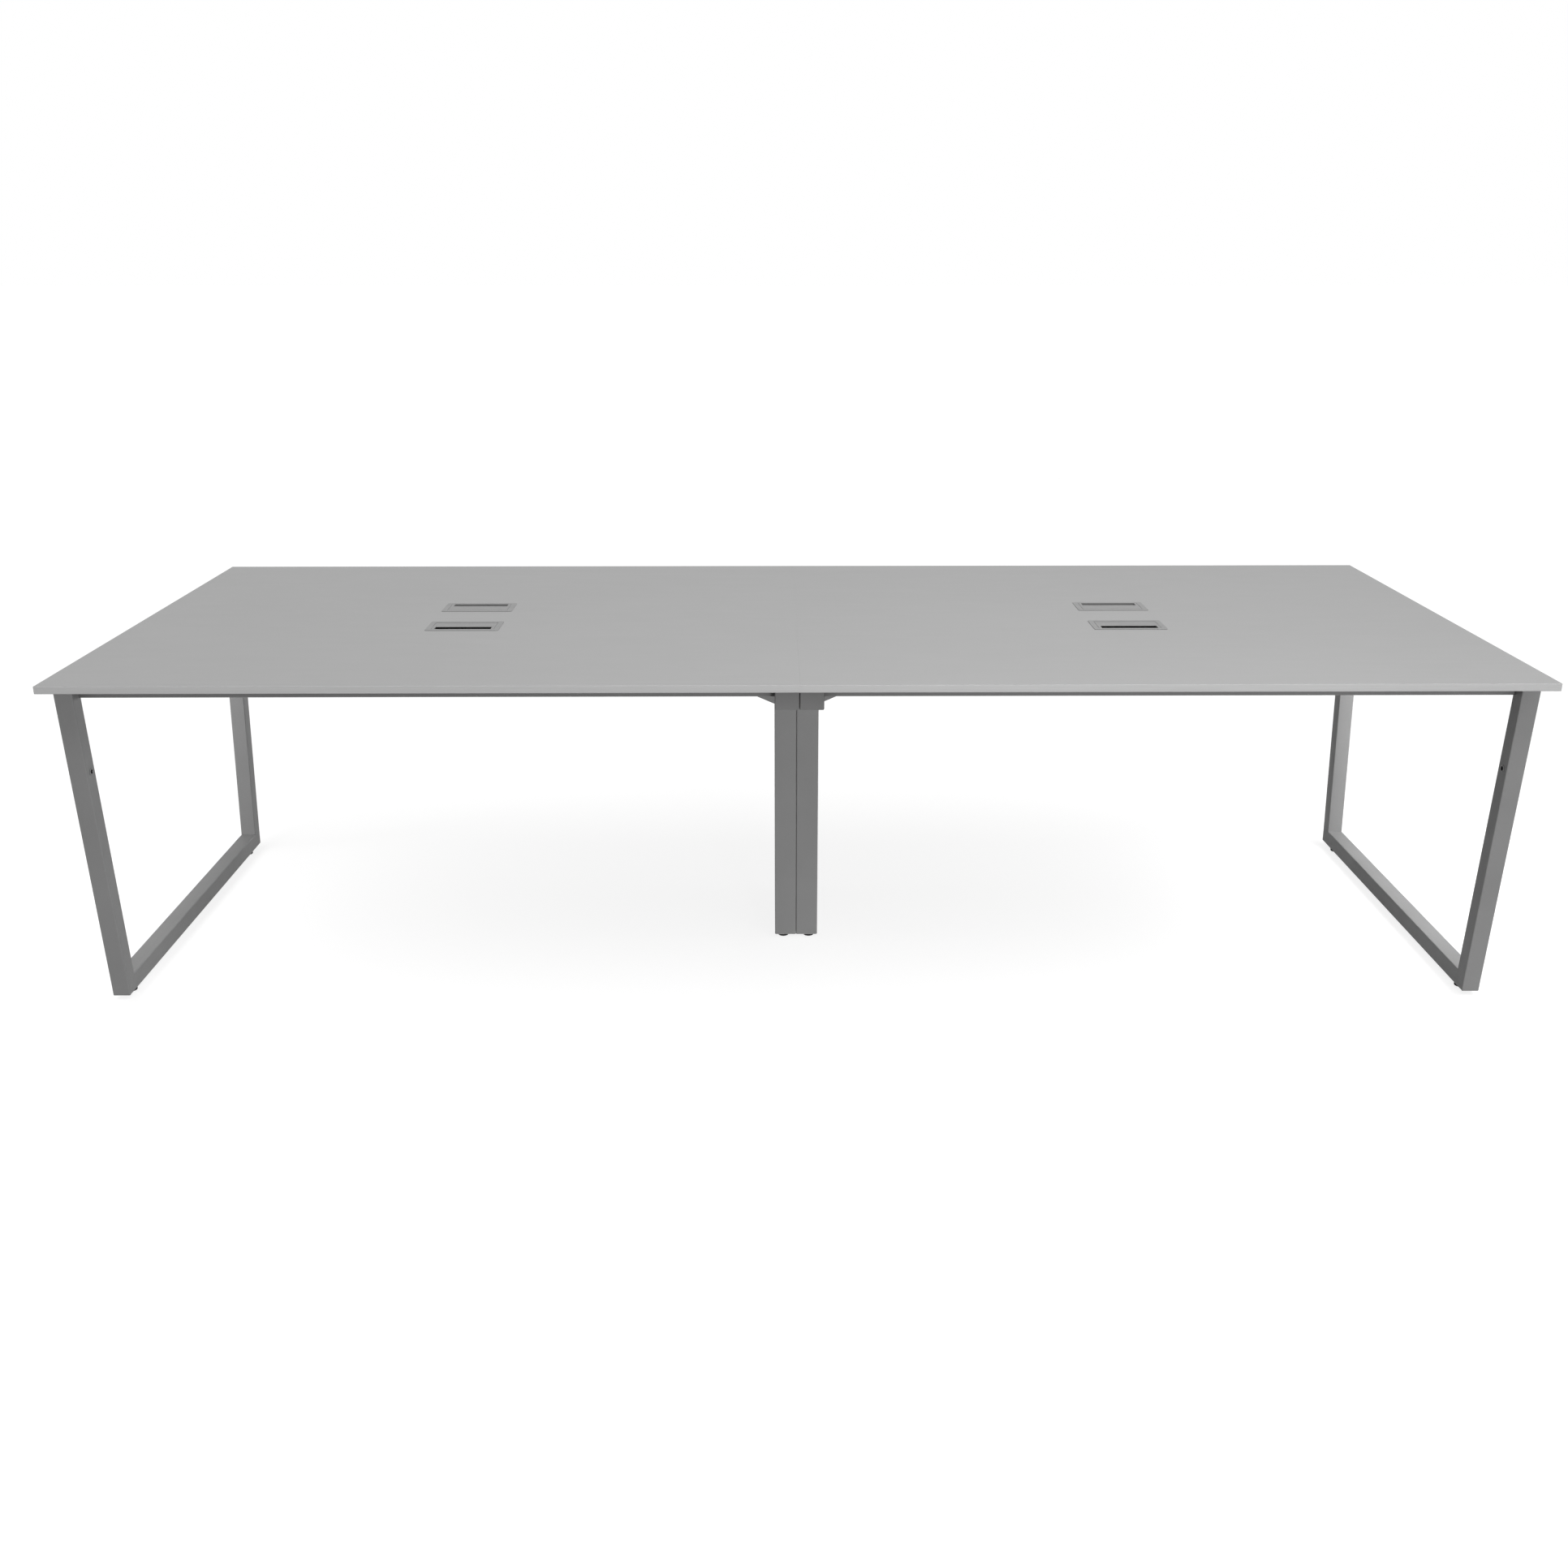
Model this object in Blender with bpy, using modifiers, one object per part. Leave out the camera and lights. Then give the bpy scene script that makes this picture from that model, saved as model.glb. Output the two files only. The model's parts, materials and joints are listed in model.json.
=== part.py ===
"""Four-person office desk: two half tops on trapezoid end frames and a central cable column.

Metres, +Z up. X runs along the desk, Y across it, and the origin is on the floor under its centre.
"""

import math

import bmesh
import bpy
from mathutils import Matrix, Vector

# Gap between pieces that touch
FIT = 0.0003

# Table top, in two halves
HALF_TOP_LENGTH = 1.500
TABLE_DEPTH = 1.200
TABLE_HEIGHT = 0.750
TOP_THICKNESS = 0.016
TOP_EDGE_RADIUS = 0.0015

# Square tube of the end frames and the beams
TUBE = 0.038
TUBE_WALL = 0.0015
TUBE_CORNER = 0.0025

# End frames, measured in from the front and rear edges of the top
LEG_TOP_INSET = 0.076
LEG_FOOT_INSET = 0.138
PANEL_HOLE_HEIGHT = 0.537

# Longitudinal beams
BEAM_INSET = 0.108
BEAM_END_PLATE = 0.003
BEAM_TAB = 0.030
TAB_HOLE_RADIUS = 0.0033

# Crossbeam and column, each in two halves that meet at mid length
COLUMN_WIDTH = 0.100
COLUMN_SHEET = 0.0015
CROSSBEAM_HEIGHT = 0.057
CROSSBEAM_WALL = 0.002
CROSSBEAM_BOLT_INSET = 0.220
BASE_PLATE_THICKNESS = 0.006
BASE_OPENING_LENGTH = 0.180
BASE_OPENING_MARGIN = 0.006
MOUTH_MARGIN = 0.015

# Cable trays
TRAY_DEPTH = 0.100
TRAY_SHEET = 0.0012
TRAY_MARGIN = 0.010
TRAY_FLANGE = 0.020
TRAY_OVERRUN = 0.250
TRAY_END_LIP = 0.040
RAMP_DROP = 0.052
RAMP_RUN = 0.118

# Cable ports, centred along each half top
PORT_Y = 0.096
BEZEL_LENGTH = 0.165
BEZEL_DEPTH = 0.088
BEZEL_HEIGHT = 0.0012
BEZEL_RIM = 0.012
BEZEL_EDGE = 0.0006
BEZEL_CORNER = 0.005
COLLAR_WALL = 0.002
COLLAR_DROP = 0.004
CUTOUT_CLEARANCE = 0.0005
REST_DEPTH = 0.006
REST_THICKNESS = 0.003
LID_THICKNESS = 0.003
LID_CLEARANCE = 0.0005
LID_CORNER = 0.0025
SLOT_LENGTH = 0.127
SLOT_WIDTH = 0.022
HINGE_RADIUS = 0.0032
PIN_RADIUS = 0.0015
PIN_SEAT = 0.0014

# Levelling feet and the threaded inserts that hold them
PAD_RADIUS = 0.0125
PAD_HEIGHT = 0.0095
PAD_EDGE = 0.0015
PAD_SHOULDER = 0.003
STUD_RADIUS = 0.004
STUD_LENGTH = 0.025
STUD_CHAMFER = 0.0008
FOOT_INSET = 0.052
COLUMN_FOOT_INSET = 0.025
COLUMN_FOOT_EDGE = 0.020
INSERT_WALL = 0.0012
INSERT_LENGTH = 0.012
FLANGE_RIM = 0.002
FLANGE_THICKNESS = 0.001
CRIMP_RIM = 0.0012
CRIMP_HEIGHT = 0.003

# Screw access holes in tubes and beams
PILOT_RADIUS = 0.0023
ACCESS_RADIUS = 0.005
BEAM_SCREW_SHARES = (0.15, 0.5, 0.85)

# Bolts that join the crossbeam halves
BOLT_RADIUS = 0.004
BOLT_HEAD_RADIUS = 0.0075
BOLT_HEAD_HEIGHT = 0.0053
NUT_HEIGHT = 0.0065
BOLT_TAIL = 0.003

# Facets of round shapes
ROUND_SEGMENTS = 12
HOLE_SEGMENTS = 10
HINGE_SEGMENTS = 16
HEX_SIDES = 6
CORNER_STEPS = 3

# How far a joined shape sinks into the other, and how far a cutter reaches past what it cuts
OVERLAP = 0.001
REACH_PAST = 0.010

# Tolerances for welding points and for calling two directions parallel
WELD = 1e-6
AXIS_WELD = 1e-5
PARALLEL = 0.9999

# Heights and half sizes worked out from the values above
half_length = HALF_TOP_LENGTH
half_depth = TABLE_DEPTH / 2
underside = TABLE_HEIGHT - TOP_THICKNESS
frame_top = underside - FIT
frame_bottom = PAD_HEIGHT + FLANGE_THICKNESS + 2 * FIT
flange_bottom = frame_bottom - FIT - FLANGE_THICKNESS

leg_top_reach = half_depth - LEG_TOP_INSET
leg_foot_reach = half_depth - LEG_FOOT_INSET
leg_lean = math.atan2(leg_top_reach - leg_foot_reach, frame_top - frame_bottom)
end_frame_x = half_length - TUBE / 2

column_half_width = COLUMN_WIDTH / 2
crossbeam_bottom = frame_top - CROSSBEAM_HEIGHT
column_top = crossbeam_bottom - FIT
tray_half_width = PORT_Y + BEZEL_DEPTH / 2 + TRAY_MARGIN
beam_outer_y = half_depth - BEAM_INSET
beam_start = column_half_width + FIT
beam_end = half_length - TUBE - FIT

port_x = half_length / 2
opening_half = BEZEL_LENGTH / 2 - BEZEL_RIM
opening_back = PORT_Y - BEZEL_DEPTH / 2 + BEZEL_RIM
opening_front = PORT_Y + BEZEL_DEPTH / 2 - BEZEL_RIM
bezel_top = TABLE_HEIGHT + BEZEL_HEIGHT
lid_bottom = bezel_top - LID_THICKNESS
hinge_y = opening_back + LID_CLEARANCE + HINGE_RADIUS
hinge_z = bezel_top - HINGE_RADIUS

tray_floor = frame_top - TRAY_DEPTH
ramp_foot = tray_floor - RAMP_DROP
tray_start = column_half_width + FIT
tray_end = port_x + BEZEL_LENGTH / 2 + TRAY_OVERRUN

insert_bore = STUD_RADIUS + FIT
insert_radius = insert_bore + INSERT_WALL

SIDES = {"left": -1, "right": 1}
ENDS = {"front": -1, "rear": 1}


def clear_scene():
    for old in list(bpy.data.objects):
        bpy.data.objects.remove(old)


def make_collection(name):
    collection = bpy.data.collections.new(name)
    bpy.context.scene.collection.children.link(collection)
    return collection


def make_material(name, grey, roughness, metallic):
    material = bpy.data.materials.new(name)
    material.use_nodes = True
    shader = material.node_tree.nodes["Principled BSDF"]
    shader.inputs["Base Color"].default_value = (grey, grey, grey, 1)
    shader.inputs["Roughness"].default_value = roughness
    shader.inputs["Metallic"].default_value = metallic
    return material


clear_scene()
parts = make_collection("four_person_desk")
cutters = make_collection("desk_cutters")
cutters.hide_render = True
desk_origin = bpy.data.objects.new("desk_origin", None)
parts.objects.link(desk_origin)

LAMINATE = make_material("laminate", 0.44, 0.45, 0.0)
FRAME_PAINT = make_material("frame_paint", 0.22, 0.42, 0.0)
TRAY_PAINT = make_material("tray_paint", 0.22, 0.50, 0.0)
PORT_PLASTIC = make_material("port_plastic", 0.36, 0.40, 0.0)
ZINC_STEEL = make_material("zinc_steel", 0.55, 0.35, 1.0)
FOOT_PLASTIC = make_material("foot_plastic", 0.012, 0.55, 0.0)


# Basic shapes


def add_object(name, mesh, material=None):
    """A part when it has a material, and otherwise a cutter."""
    thing = bpy.data.objects.new(name, mesh)
    if material:
        mesh.materials.append(material)
        parts.objects.link(thing)
        thing.parent = desk_origin
    else:
        cutters.objects.link(thing)
        thing.hide_render = True
        thing.display_type = "WIRE"
    return thing


def mesh_from(bm, name):
    mesh = bpy.data.meshes.new(name)
    bm.to_mesh(mesh)
    bm.free()
    return mesh


def add_box(name, corner, opposite, material=None):
    """A box between two opposite corners, given in any order, with its origin at its centre."""
    corner = Vector(corner)
    opposite = Vector(opposite)
    size = [abs(a - b) for a, b in zip(corner, opposite)]
    bm = bmesh.new()
    bmesh.ops.create_cube(bm, size=1, matrix=Matrix.Diagonal((*size, 1)))
    thing = add_object(name, mesh_from(bm, name), material)
    thing.location = (corner + opposite) / 2
    return thing


def add_rod(name, start, end, radius, segments, material=None):
    """A straight round rod from start to end, or a prism with few segments."""
    start = Vector(start)
    end = Vector(end)
    bm = bmesh.new()
    bmesh.ops.create_cone(
        bm, cap_ends=True, segments=segments, radius1=radius, radius2=radius, depth=(end - start).length
    )
    thing = add_object(name, mesh_from(bm, name), material)
    thing.location = (start + end) / 2
    thing.rotation_euler = (end - start).to_track_quat("Z", "Y").to_euler()
    return thing


# A prism's outline lies across its axis: (Y, Z) for a prism along X, (X, Z) along Y, (X, Y) along Z.
SWEEP_TURNS = {
    "X": Matrix(((0, 0, 1), (1, 0, 0), (0, 1, 0))),
    "Y": Matrix(((1, 0, 0), (0, 0, -1), (0, 1, 0))),
    "Z": Matrix.Identity(3),
}


def add_prism(name, outline, axis, start, end, material=None):
    """A flat outline swept along an axis from start to end."""
    curve = bpy.data.curves.new(name, "CURVE")
    curve.dimensions = "2D"
    curve.fill_mode = "BOTH"
    curve.extrude = abs(end - start) / 2
    spline = curve.splines.new("POLY")
    spline.points.add(len(outline) - 1)
    for point, (u, v) in zip(spline.points, outline):
        point.co = (u, v, 0, 1)
    spline.use_cyclic_u = True
    guide = bpy.data.objects.new(name, curve)
    cutters.objects.link(guide)
    graph = bpy.context.evaluated_depsgraph_get()
    mesh = bpy.data.meshes.new_from_object(guide.evaluated_get(graph))
    bpy.data.objects.remove(guide)
    turn = SWEEP_TURNS[axis]
    mesh.transform(turn.to_4x4())
    bm = bmesh.new()
    bm.from_mesh(mesh)
    bmesh.ops.remove_doubles(bm, verts=bm.verts, dist=WELD)
    bmesh.ops.recalc_face_normals(bm, faces=bm.faces)
    bm.to_mesh(mesh)
    bm.free()
    mesh.name = name
    thing = add_object(name, mesh, material)
    middle = (start + end) / 2
    thing.location = {"X": (middle, 0, 0), "Y": (0, middle, 0), "Z": (0, 0, middle)}[axis]
    return thing


def rounded_rectangle(corner, opposite, radius):
    """The outline of a rectangle whose four corners are arcs."""
    low_u, high_u = sorted((corner[0], opposite[0]))
    low_v, high_v = sorted((corner[1], opposite[1]))
    centres = (
        (high_u - radius, high_v - radius),
        (low_u + radius, high_v - radius),
        (low_u + radius, low_v + radius),
        (high_u - radius, low_v + radius),
    )
    outline = []
    for quarter, (u, v) in enumerate(centres):
        for step in range(CORNER_STEPS + 1):
            angle = (quarter + step / CORNER_STEPS) * math.pi / 2
            outline.append((u + radius * math.cos(angle), v + radius * math.sin(angle)))
    return outline


def add_turned(name, profile, material):
    """A profile of (radius, height) points, outer side from top to bottom, turned about Z."""
    bm = bmesh.new()
    points = [bm.verts.new((radius, 0, height)) for radius, height in profile]
    for first, second in zip(points, points[1:]):
        bm.edges.new((first, second))
    if profile[0][0] > 0:
        bm.edges.new((points[-1], points[0]))
    thing = add_object(name, mesh_from(bm, name), material)
    screw = thing.modifiers.new("turn", "SCREW")
    screw.axis = "Z"
    screw.steps = ROUND_SEGMENTS
    screw.render_steps = ROUND_SEGMENTS
    screw.use_merge_vertices = True
    screw.merge_threshold = AXIS_WELD
    screw.use_smooth_shade = False
    return thing


# Changes to shapes


def combine(thing, other, operation):
    modifier = thing.modifiers.new(other.name, "BOOLEAN")
    modifier.operation = operation
    modifier.object = other


def cut(thing, other):
    combine(thing, other, "DIFFERENCE")


def join(thing, other):
    combine(thing, other, "UNION")


def round_edges(thing, picked, radius, segments=2):
    """Rounds the edges that picked(start, end) accepts, with the ends in the object's own frame."""
    bm = bmesh.new()
    bm.from_mesh(thing.data)
    weight = bm.edges.layers.float.new("bevel_weight_edge")
    for edge in bm.edges:
        start, end = (vertex.co for vertex in edge.verts)
        edge[weight] = float(picked(start, end))
    bm.to_mesh(thing.data)
    bm.free()
    bevel = thing.modifiers.new("rounding", "BEVEL")
    bevel.limit_method = "WEIGHT"
    bevel.width = radius
    bevel.segments = segments


def along(*directions):
    """Picks the edges that run in one of the directions."""
    units = [Vector(direction).normalized() for direction in directions]

    def picked(start, end):
        run = (end - start).normalized()
        return any(abs(run.dot(unit)) > PARALLEL for unit in units)

    return picked


def set_origin(thing, point):
    """Moves an object's origin to a point, and leaves its shape where it is."""
    point = Vector(point)
    thing.data.transform(Matrix.Translation(thing.location - point))
    thing.location = point


def cut_round_hole(thing, name, start, end, radius, segments=HOLE_SEGMENTS):
    cut(thing, add_rod(name, start, end, radius, segments))


def cut_screw_holes(tube, spots, bottom, wall):
    """A wide access hole in a tube's lower wall and a pilot hole in its upper wall, at each (x, y)."""
    for number, (x, y) in enumerate(spots, 1):
        name = f"{tube.name}_hole_{number}"
        inside = bottom + TUBE / 2
        cut_round_hole(tube, name + "_low", (x, y, bottom - wall), (x, y, inside), ACCESS_RADIUS)
        cut_round_hole(tube, name + "_top", (x, y, inside), (x, y, underside), PILOT_RADIUS)


# Table top


def build_desktop(side, sign):
    seam = sign * FIT / 2
    end = sign * half_length
    board = add_box(
        f"desktop_{side}", (seam, -half_depth, underside), (end, half_depth, TABLE_HEIGHT), LAMINATE
    )
    seam_plane = seam - board.location.x

    def picked(first, second):
        return max(abs(first.x - seam_plane), abs(second.x - seam_plane)) > OVERLAP

    round_edges(board, picked, TOP_EDGE_RADIUS)
    for end_name, end_sign in ENDS.items():
        margin = COLLAR_WALL + CUTOUT_CLEARANCE
        outline = rounded_rectangle(
            (sign * port_x - opening_half - margin, end_sign * (opening_back - margin)),
            (sign * port_x + opening_half + margin, end_sign * (opening_front + margin)),
            COLLAR_WALL + CUTOUT_CLEARANCE,
        )
        name = f"port_cutout_{end_name}_{side}"
        cut(board, add_prism(name, outline, "Z", underside - REACH_PAST, TABLE_HEIGHT + REACH_PAST))


# End frames


def leg_outer(height):
    """Distance of a leg's outer face from the middle of the desk, at a height."""
    return leg_foot_reach + (height - frame_bottom) * math.tan(leg_lean)


def leg_inner(height):
    return leg_outer(height) - TUBE / math.cos(leg_lean)


def leg_centre(height):
    return (leg_outer(height) + leg_inner(height)) / 2


def frame_corners():
    """The outer and inner corners where the tubes meet, as (Y, Z) on the rear side."""
    inner_bottom = frame_bottom + TUBE
    inner_top = frame_top - TUBE
    return {
        "outer_bottom": Vector((leg_outer(frame_bottom), frame_bottom)),
        "inner_bottom": Vector((leg_inner(inner_bottom), inner_bottom)),
        "outer_top": Vector((leg_outer(frame_top), frame_top)),
        "inner_top": Vector((leg_inner(inner_top), inner_top)),
    }


def build_leg(end_name, end_sign, side, sign):
    corners = frame_corners()
    upward = Vector((math.sin(leg_lean), math.cos(leg_lean)))
    outline = [
        corners["outer_bottom"] + upward * FIT,
        corners["outer_top"] - upward * FIT,
        corners["inner_top"] - upward * FIT,
        corners["inner_bottom"] + upward * FIT,
    ]
    name = f"leg_{end_name}_{side}"
    leg = add_prism(
        name,
        [(end_sign * y, z) for y, z in outline],
        "X",
        sign * (half_length - TUBE),
        sign * half_length,
        FRAME_PAINT,
    )
    round_edges(leg, along((0, end_sign * upward.x, upward.y)), TUBE_CORNER)
    middle = (frame_top + frame_bottom) / 2
    hollow_half = TUBE / 2 - TUBE_WALL
    hollow = add_box(
        f"{name}_hollow", (hollow_half, hollow_half, half_depth), (-hollow_half, -hollow_half, -half_depth)
    )
    hollow.location = (sign * end_frame_x, end_sign * leg_centre(middle), middle)
    hollow.rotation_euler = (-end_sign * leg_lean, 0, 0)
    cut(leg, hollow)
    inner_face = sign * (half_length - TUBE)
    hole_y = end_sign * leg_centre(PANEL_HOLE_HEIGHT)
    cut_round_hole(
        leg,
        f"{name}_insert_hole",
        (inner_face - sign * TUBE_WALL, hole_y, PANEL_HOLE_HEIGHT),
        (sign * end_frame_x, hole_y, PANEL_HOLE_HEIGHT),
        insert_radius + FIT,
        ROUND_SEGMENTS,
    )
    insert = add_insert(f"panel_insert_{end_name}_{side}")
    insert.location = (inner_face, hole_y, PANEL_HOLE_HEIGHT)
    insert.rotation_euler = (0, sign * math.pi / 2, 0)


def build_rail(name, outer, inner, side_sign):
    """A level tube of an end frame between its two mitred corners."""
    outline = [
        (outer.x - FIT, outer.y),
        (inner.x - FIT, inner.y),
        (FIT - inner.x, inner.y),
        (FIT - outer.x, outer.y),
    ]
    rail = add_prism(
        name, outline, "X", side_sign * (half_length - TUBE), side_sign * half_length, FRAME_PAINT
    )
    round_edges(rail, along((0, 1, 0)), TUBE_CORNER)
    low, high = sorted((outer.y, inner.y))
    hollow_half = TUBE / 2 - TUBE_WALL
    hollow = add_box(
        f"{name}_hollow",
        (side_sign * end_frame_x - hollow_half, -half_depth, low + TUBE_WALL),
        (side_sign * end_frame_x + hollow_half, half_depth, high - TUBE_WALL),
    )
    cut(rail, hollow)
    return rail


def build_end_frame(side, sign):
    for end_name, end_sign in ENDS.items():
        build_leg(end_name, end_sign, side, sign)
    corners = frame_corners()
    top_rail = build_rail(f"top_rail_{side}", corners["outer_top"], corners["inner_top"], sign)
    quarter = leg_top_reach / 2
    spots = [(sign * end_frame_x, -quarter), (sign * end_frame_x, quarter)]
    cut_screw_holes(top_rail, spots, frame_top - TUBE, TUBE_WALL)
    foot_rail = build_rail(f"foot_rail_{side}", corners["outer_bottom"], corners["inner_bottom"], sign)
    for end_name, end_sign in ENDS.items():
        spot = (sign * end_frame_x, end_sign * (leg_foot_reach - FOOT_INSET))
        cut_round_hole(
            foot_rail,
            f"foot_hole_{end_name}_{side}",
            (*spot, frame_bottom - TUBE_WALL),
            (*spot, frame_bottom + TUBE / 2),
            insert_radius + FIT,
            ROUND_SEGMENTS,
        )
        insert = add_insert(f"foot_insert_{end_name}_{side}")
        insert.location = (*spot, frame_bottom)
        add_foot(f"foot_{end_name}_{side}", spot)


def add_insert(name):
    """A threaded insert crimped in a tube wall, with the wall's outer face at height 0 and the tube above."""
    crimp_low = TUBE_WALL + FIT
    crimp_high = crimp_low + CRIMP_HEIGHT
    flange_radius = insert_radius + FLANGE_RIM
    crimp_radius = insert_radius + CRIMP_RIM
    profile = [
        (insert_bore, INSERT_LENGTH),
        (insert_radius, INSERT_LENGTH),
        (insert_radius, crimp_high),
        (crimp_radius, (crimp_low + crimp_high) / 2),
        (crimp_radius, crimp_low),
        (insert_radius, crimp_low),
        (insert_radius, -FIT),
        (flange_radius, -FIT),
        (flange_radius, -FIT - FLANGE_THICKNESS),
        (insert_bore, -FIT - FLANGE_THICKNESS),
    ]
    return add_turned(name, profile, ZINC_STEEL)


def add_foot(name, spot):
    """A levelling foot, fully screwed in, with its origin on its axis at the floor."""
    stud_top = PAD_HEIGHT + STUD_LENGTH
    profile = [
        (0, stud_top),
        (STUD_RADIUS - STUD_CHAMFER, stud_top),
        (STUD_RADIUS, stud_top - STUD_CHAMFER),
        (STUD_RADIUS, PAD_HEIGHT),
        (PAD_RADIUS - PAD_SHOULDER, PAD_HEIGHT),
        (PAD_RADIUS, PAD_HEIGHT - PAD_SHOULDER),
        (PAD_RADIUS, PAD_EDGE),
        (PAD_RADIUS - PAD_EDGE, 0),
        (0, 0),
    ]
    foot = add_turned(name, profile, FOOT_PLASTIC)
    foot.location = (*spot, 0)


# Beams between the end frames and the crossbeam


def build_beam(end_name, end_sign, side, sign):
    name = f"beam_{end_name}_{side}"
    outer = end_sign * beam_outer_y
    inner = end_sign * (beam_outer_y - TUBE)
    bottom = frame_top - TUBE
    beam = add_box(name, (sign * beam_start, outer, bottom), (sign * beam_end, inner, frame_top), FRAME_PAINT)
    round_edges(beam, along((1, 0, 0)), TUBE_CORNER)
    hollow = add_box(
        f"{name}_hollow",
        (sign * (beam_start + BEAM_END_PLATE), outer - end_sign * TUBE_WALL, bottom + TUBE_WALL),
        (sign * (beam_end - BEAM_END_PLATE), inner + end_sign * TUBE_WALL, frame_top - TUBE_WALL),
    )
    cut(beam, hollow)
    tab_edge = inner - end_sign * BEAM_TAB
    ends = {"inner": (beam_start, BEAM_END_PLATE), "outer": (beam_end, -BEAM_END_PLATE)}
    for tab_name, (face, thickness) in ends.items():
        tab = add_box(
            f"{name}_tab_{tab_name}",
            (sign * face, outer - end_sign * TUBE / 2, bottom + TUBE_CORNER),
            (sign * (face + thickness), tab_edge, frame_top - TUBE_CORNER),
        )
        join(beam, tab)
        hole_y = inner - end_sign * BEAM_TAB / 2
        hole_z = frame_top - TUBE / 2
        cut_round_hole(
            beam,
            f"{name}_bolt_hole_{tab_name}",
            (sign * (face - 2 * thickness), hole_y, hole_z),
            (sign * (face + 2 * thickness), hole_y, hole_z),
            TAB_HOLE_RADIUS,
        )
    length = beam_end - beam_start
    centre_y = (outer + inner) / 2
    spots = [(sign * (beam_start + length * share), centre_y) for share in BEAM_SCREW_SHARES]
    cut_screw_holes(beam, spots, bottom, TUBE_WALL)


# Crossbeam


def build_crossbeam(side, sign):
    name = f"crossbeam_{side}"
    reach = leg_top_reach
    bar = add_box(
        name,
        (sign * FIT / 2, -reach, crossbeam_bottom),
        (sign * column_half_width, reach, frame_top),
        FRAME_PAINT,
    )
    round_edges(bar, along((0, 1, 0), (0, 0, 1)), TUBE_CORNER)
    hollow = add_box(
        f"{name}_hollow",
        (sign * (FIT / 2 + CROSSBEAM_WALL), CROSSBEAM_WALL - reach, crossbeam_bottom + CROSSBEAM_WALL),
        (sign * (column_half_width - CROSSBEAM_WALL), reach - CROSSBEAM_WALL, frame_top - CROSSBEAM_WALL),
    )
    cut(bar, hollow)
    bolt_y = reach - CROSSBEAM_BOLT_INSET
    bolt_z = (crossbeam_bottom + frame_top) / 2
    for end_name, end_sign in ENDS.items():
        cut_round_hole(
            bar,
            f"{name}_bolt_hole_{end_name}",
            (-sign * CROSSBEAM_WALL, end_sign * bolt_y, bolt_z),
            (sign * (column_half_width + CROSSBEAM_WALL), end_sign * bolt_y, bolt_z),
            BOLT_RADIUS + FIT,
        )
    screw_y = (bolt_y + reach) / 2
    centre_x = sign * column_half_width / 2
    cut_screw_holes(bar, [(centre_x, -screw_y), (centre_x, screw_y)], crossbeam_bottom, CROSSBEAM_WALL)


def build_joining_bolts():
    bolt_z = (crossbeam_bottom + frame_top) / 2
    face = column_half_width + FIT
    for end_name, end_sign in ENDS.items():
        y = end_sign * (leg_top_reach - CROSSBEAM_BOLT_INSET)
        tail = face + NUT_HEIGHT + BOLT_TAIL
        bolt = add_rod(
            f"joining_bolt_{end_name}",
            (-face - BOLT_HEAD_HEIGHT / 2, y, bolt_z),
            (tail, y, bolt_z),
            BOLT_RADIUS,
            HOLE_SEGMENTS,
            ZINC_STEEL,
        )
        head = add_rod(
            f"joining_bolt_head_{end_name}",
            (-face - BOLT_HEAD_HEIGHT, y, bolt_z),
            (-face, y, bolt_z),
            BOLT_HEAD_RADIUS,
            HEX_SIDES,
        )
        join(bolt, head)
        nut = add_rod(
            f"joining_nut_{end_name}",
            (face, y, bolt_z),
            (face + NUT_HEIGHT, y, bolt_z),
            BOLT_HEAD_RADIUS,
            HEX_SIDES,
            ZINC_STEEL,
        )
        cut_round_hole(
            nut,
            f"joining_nut_bore_{end_name}",
            (face - NUT_HEIGHT, y, bolt_z),
            (face + 2 * NUT_HEIGHT, y, bolt_z),
            BOLT_RADIUS + FIT,
        )


# Column


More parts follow.
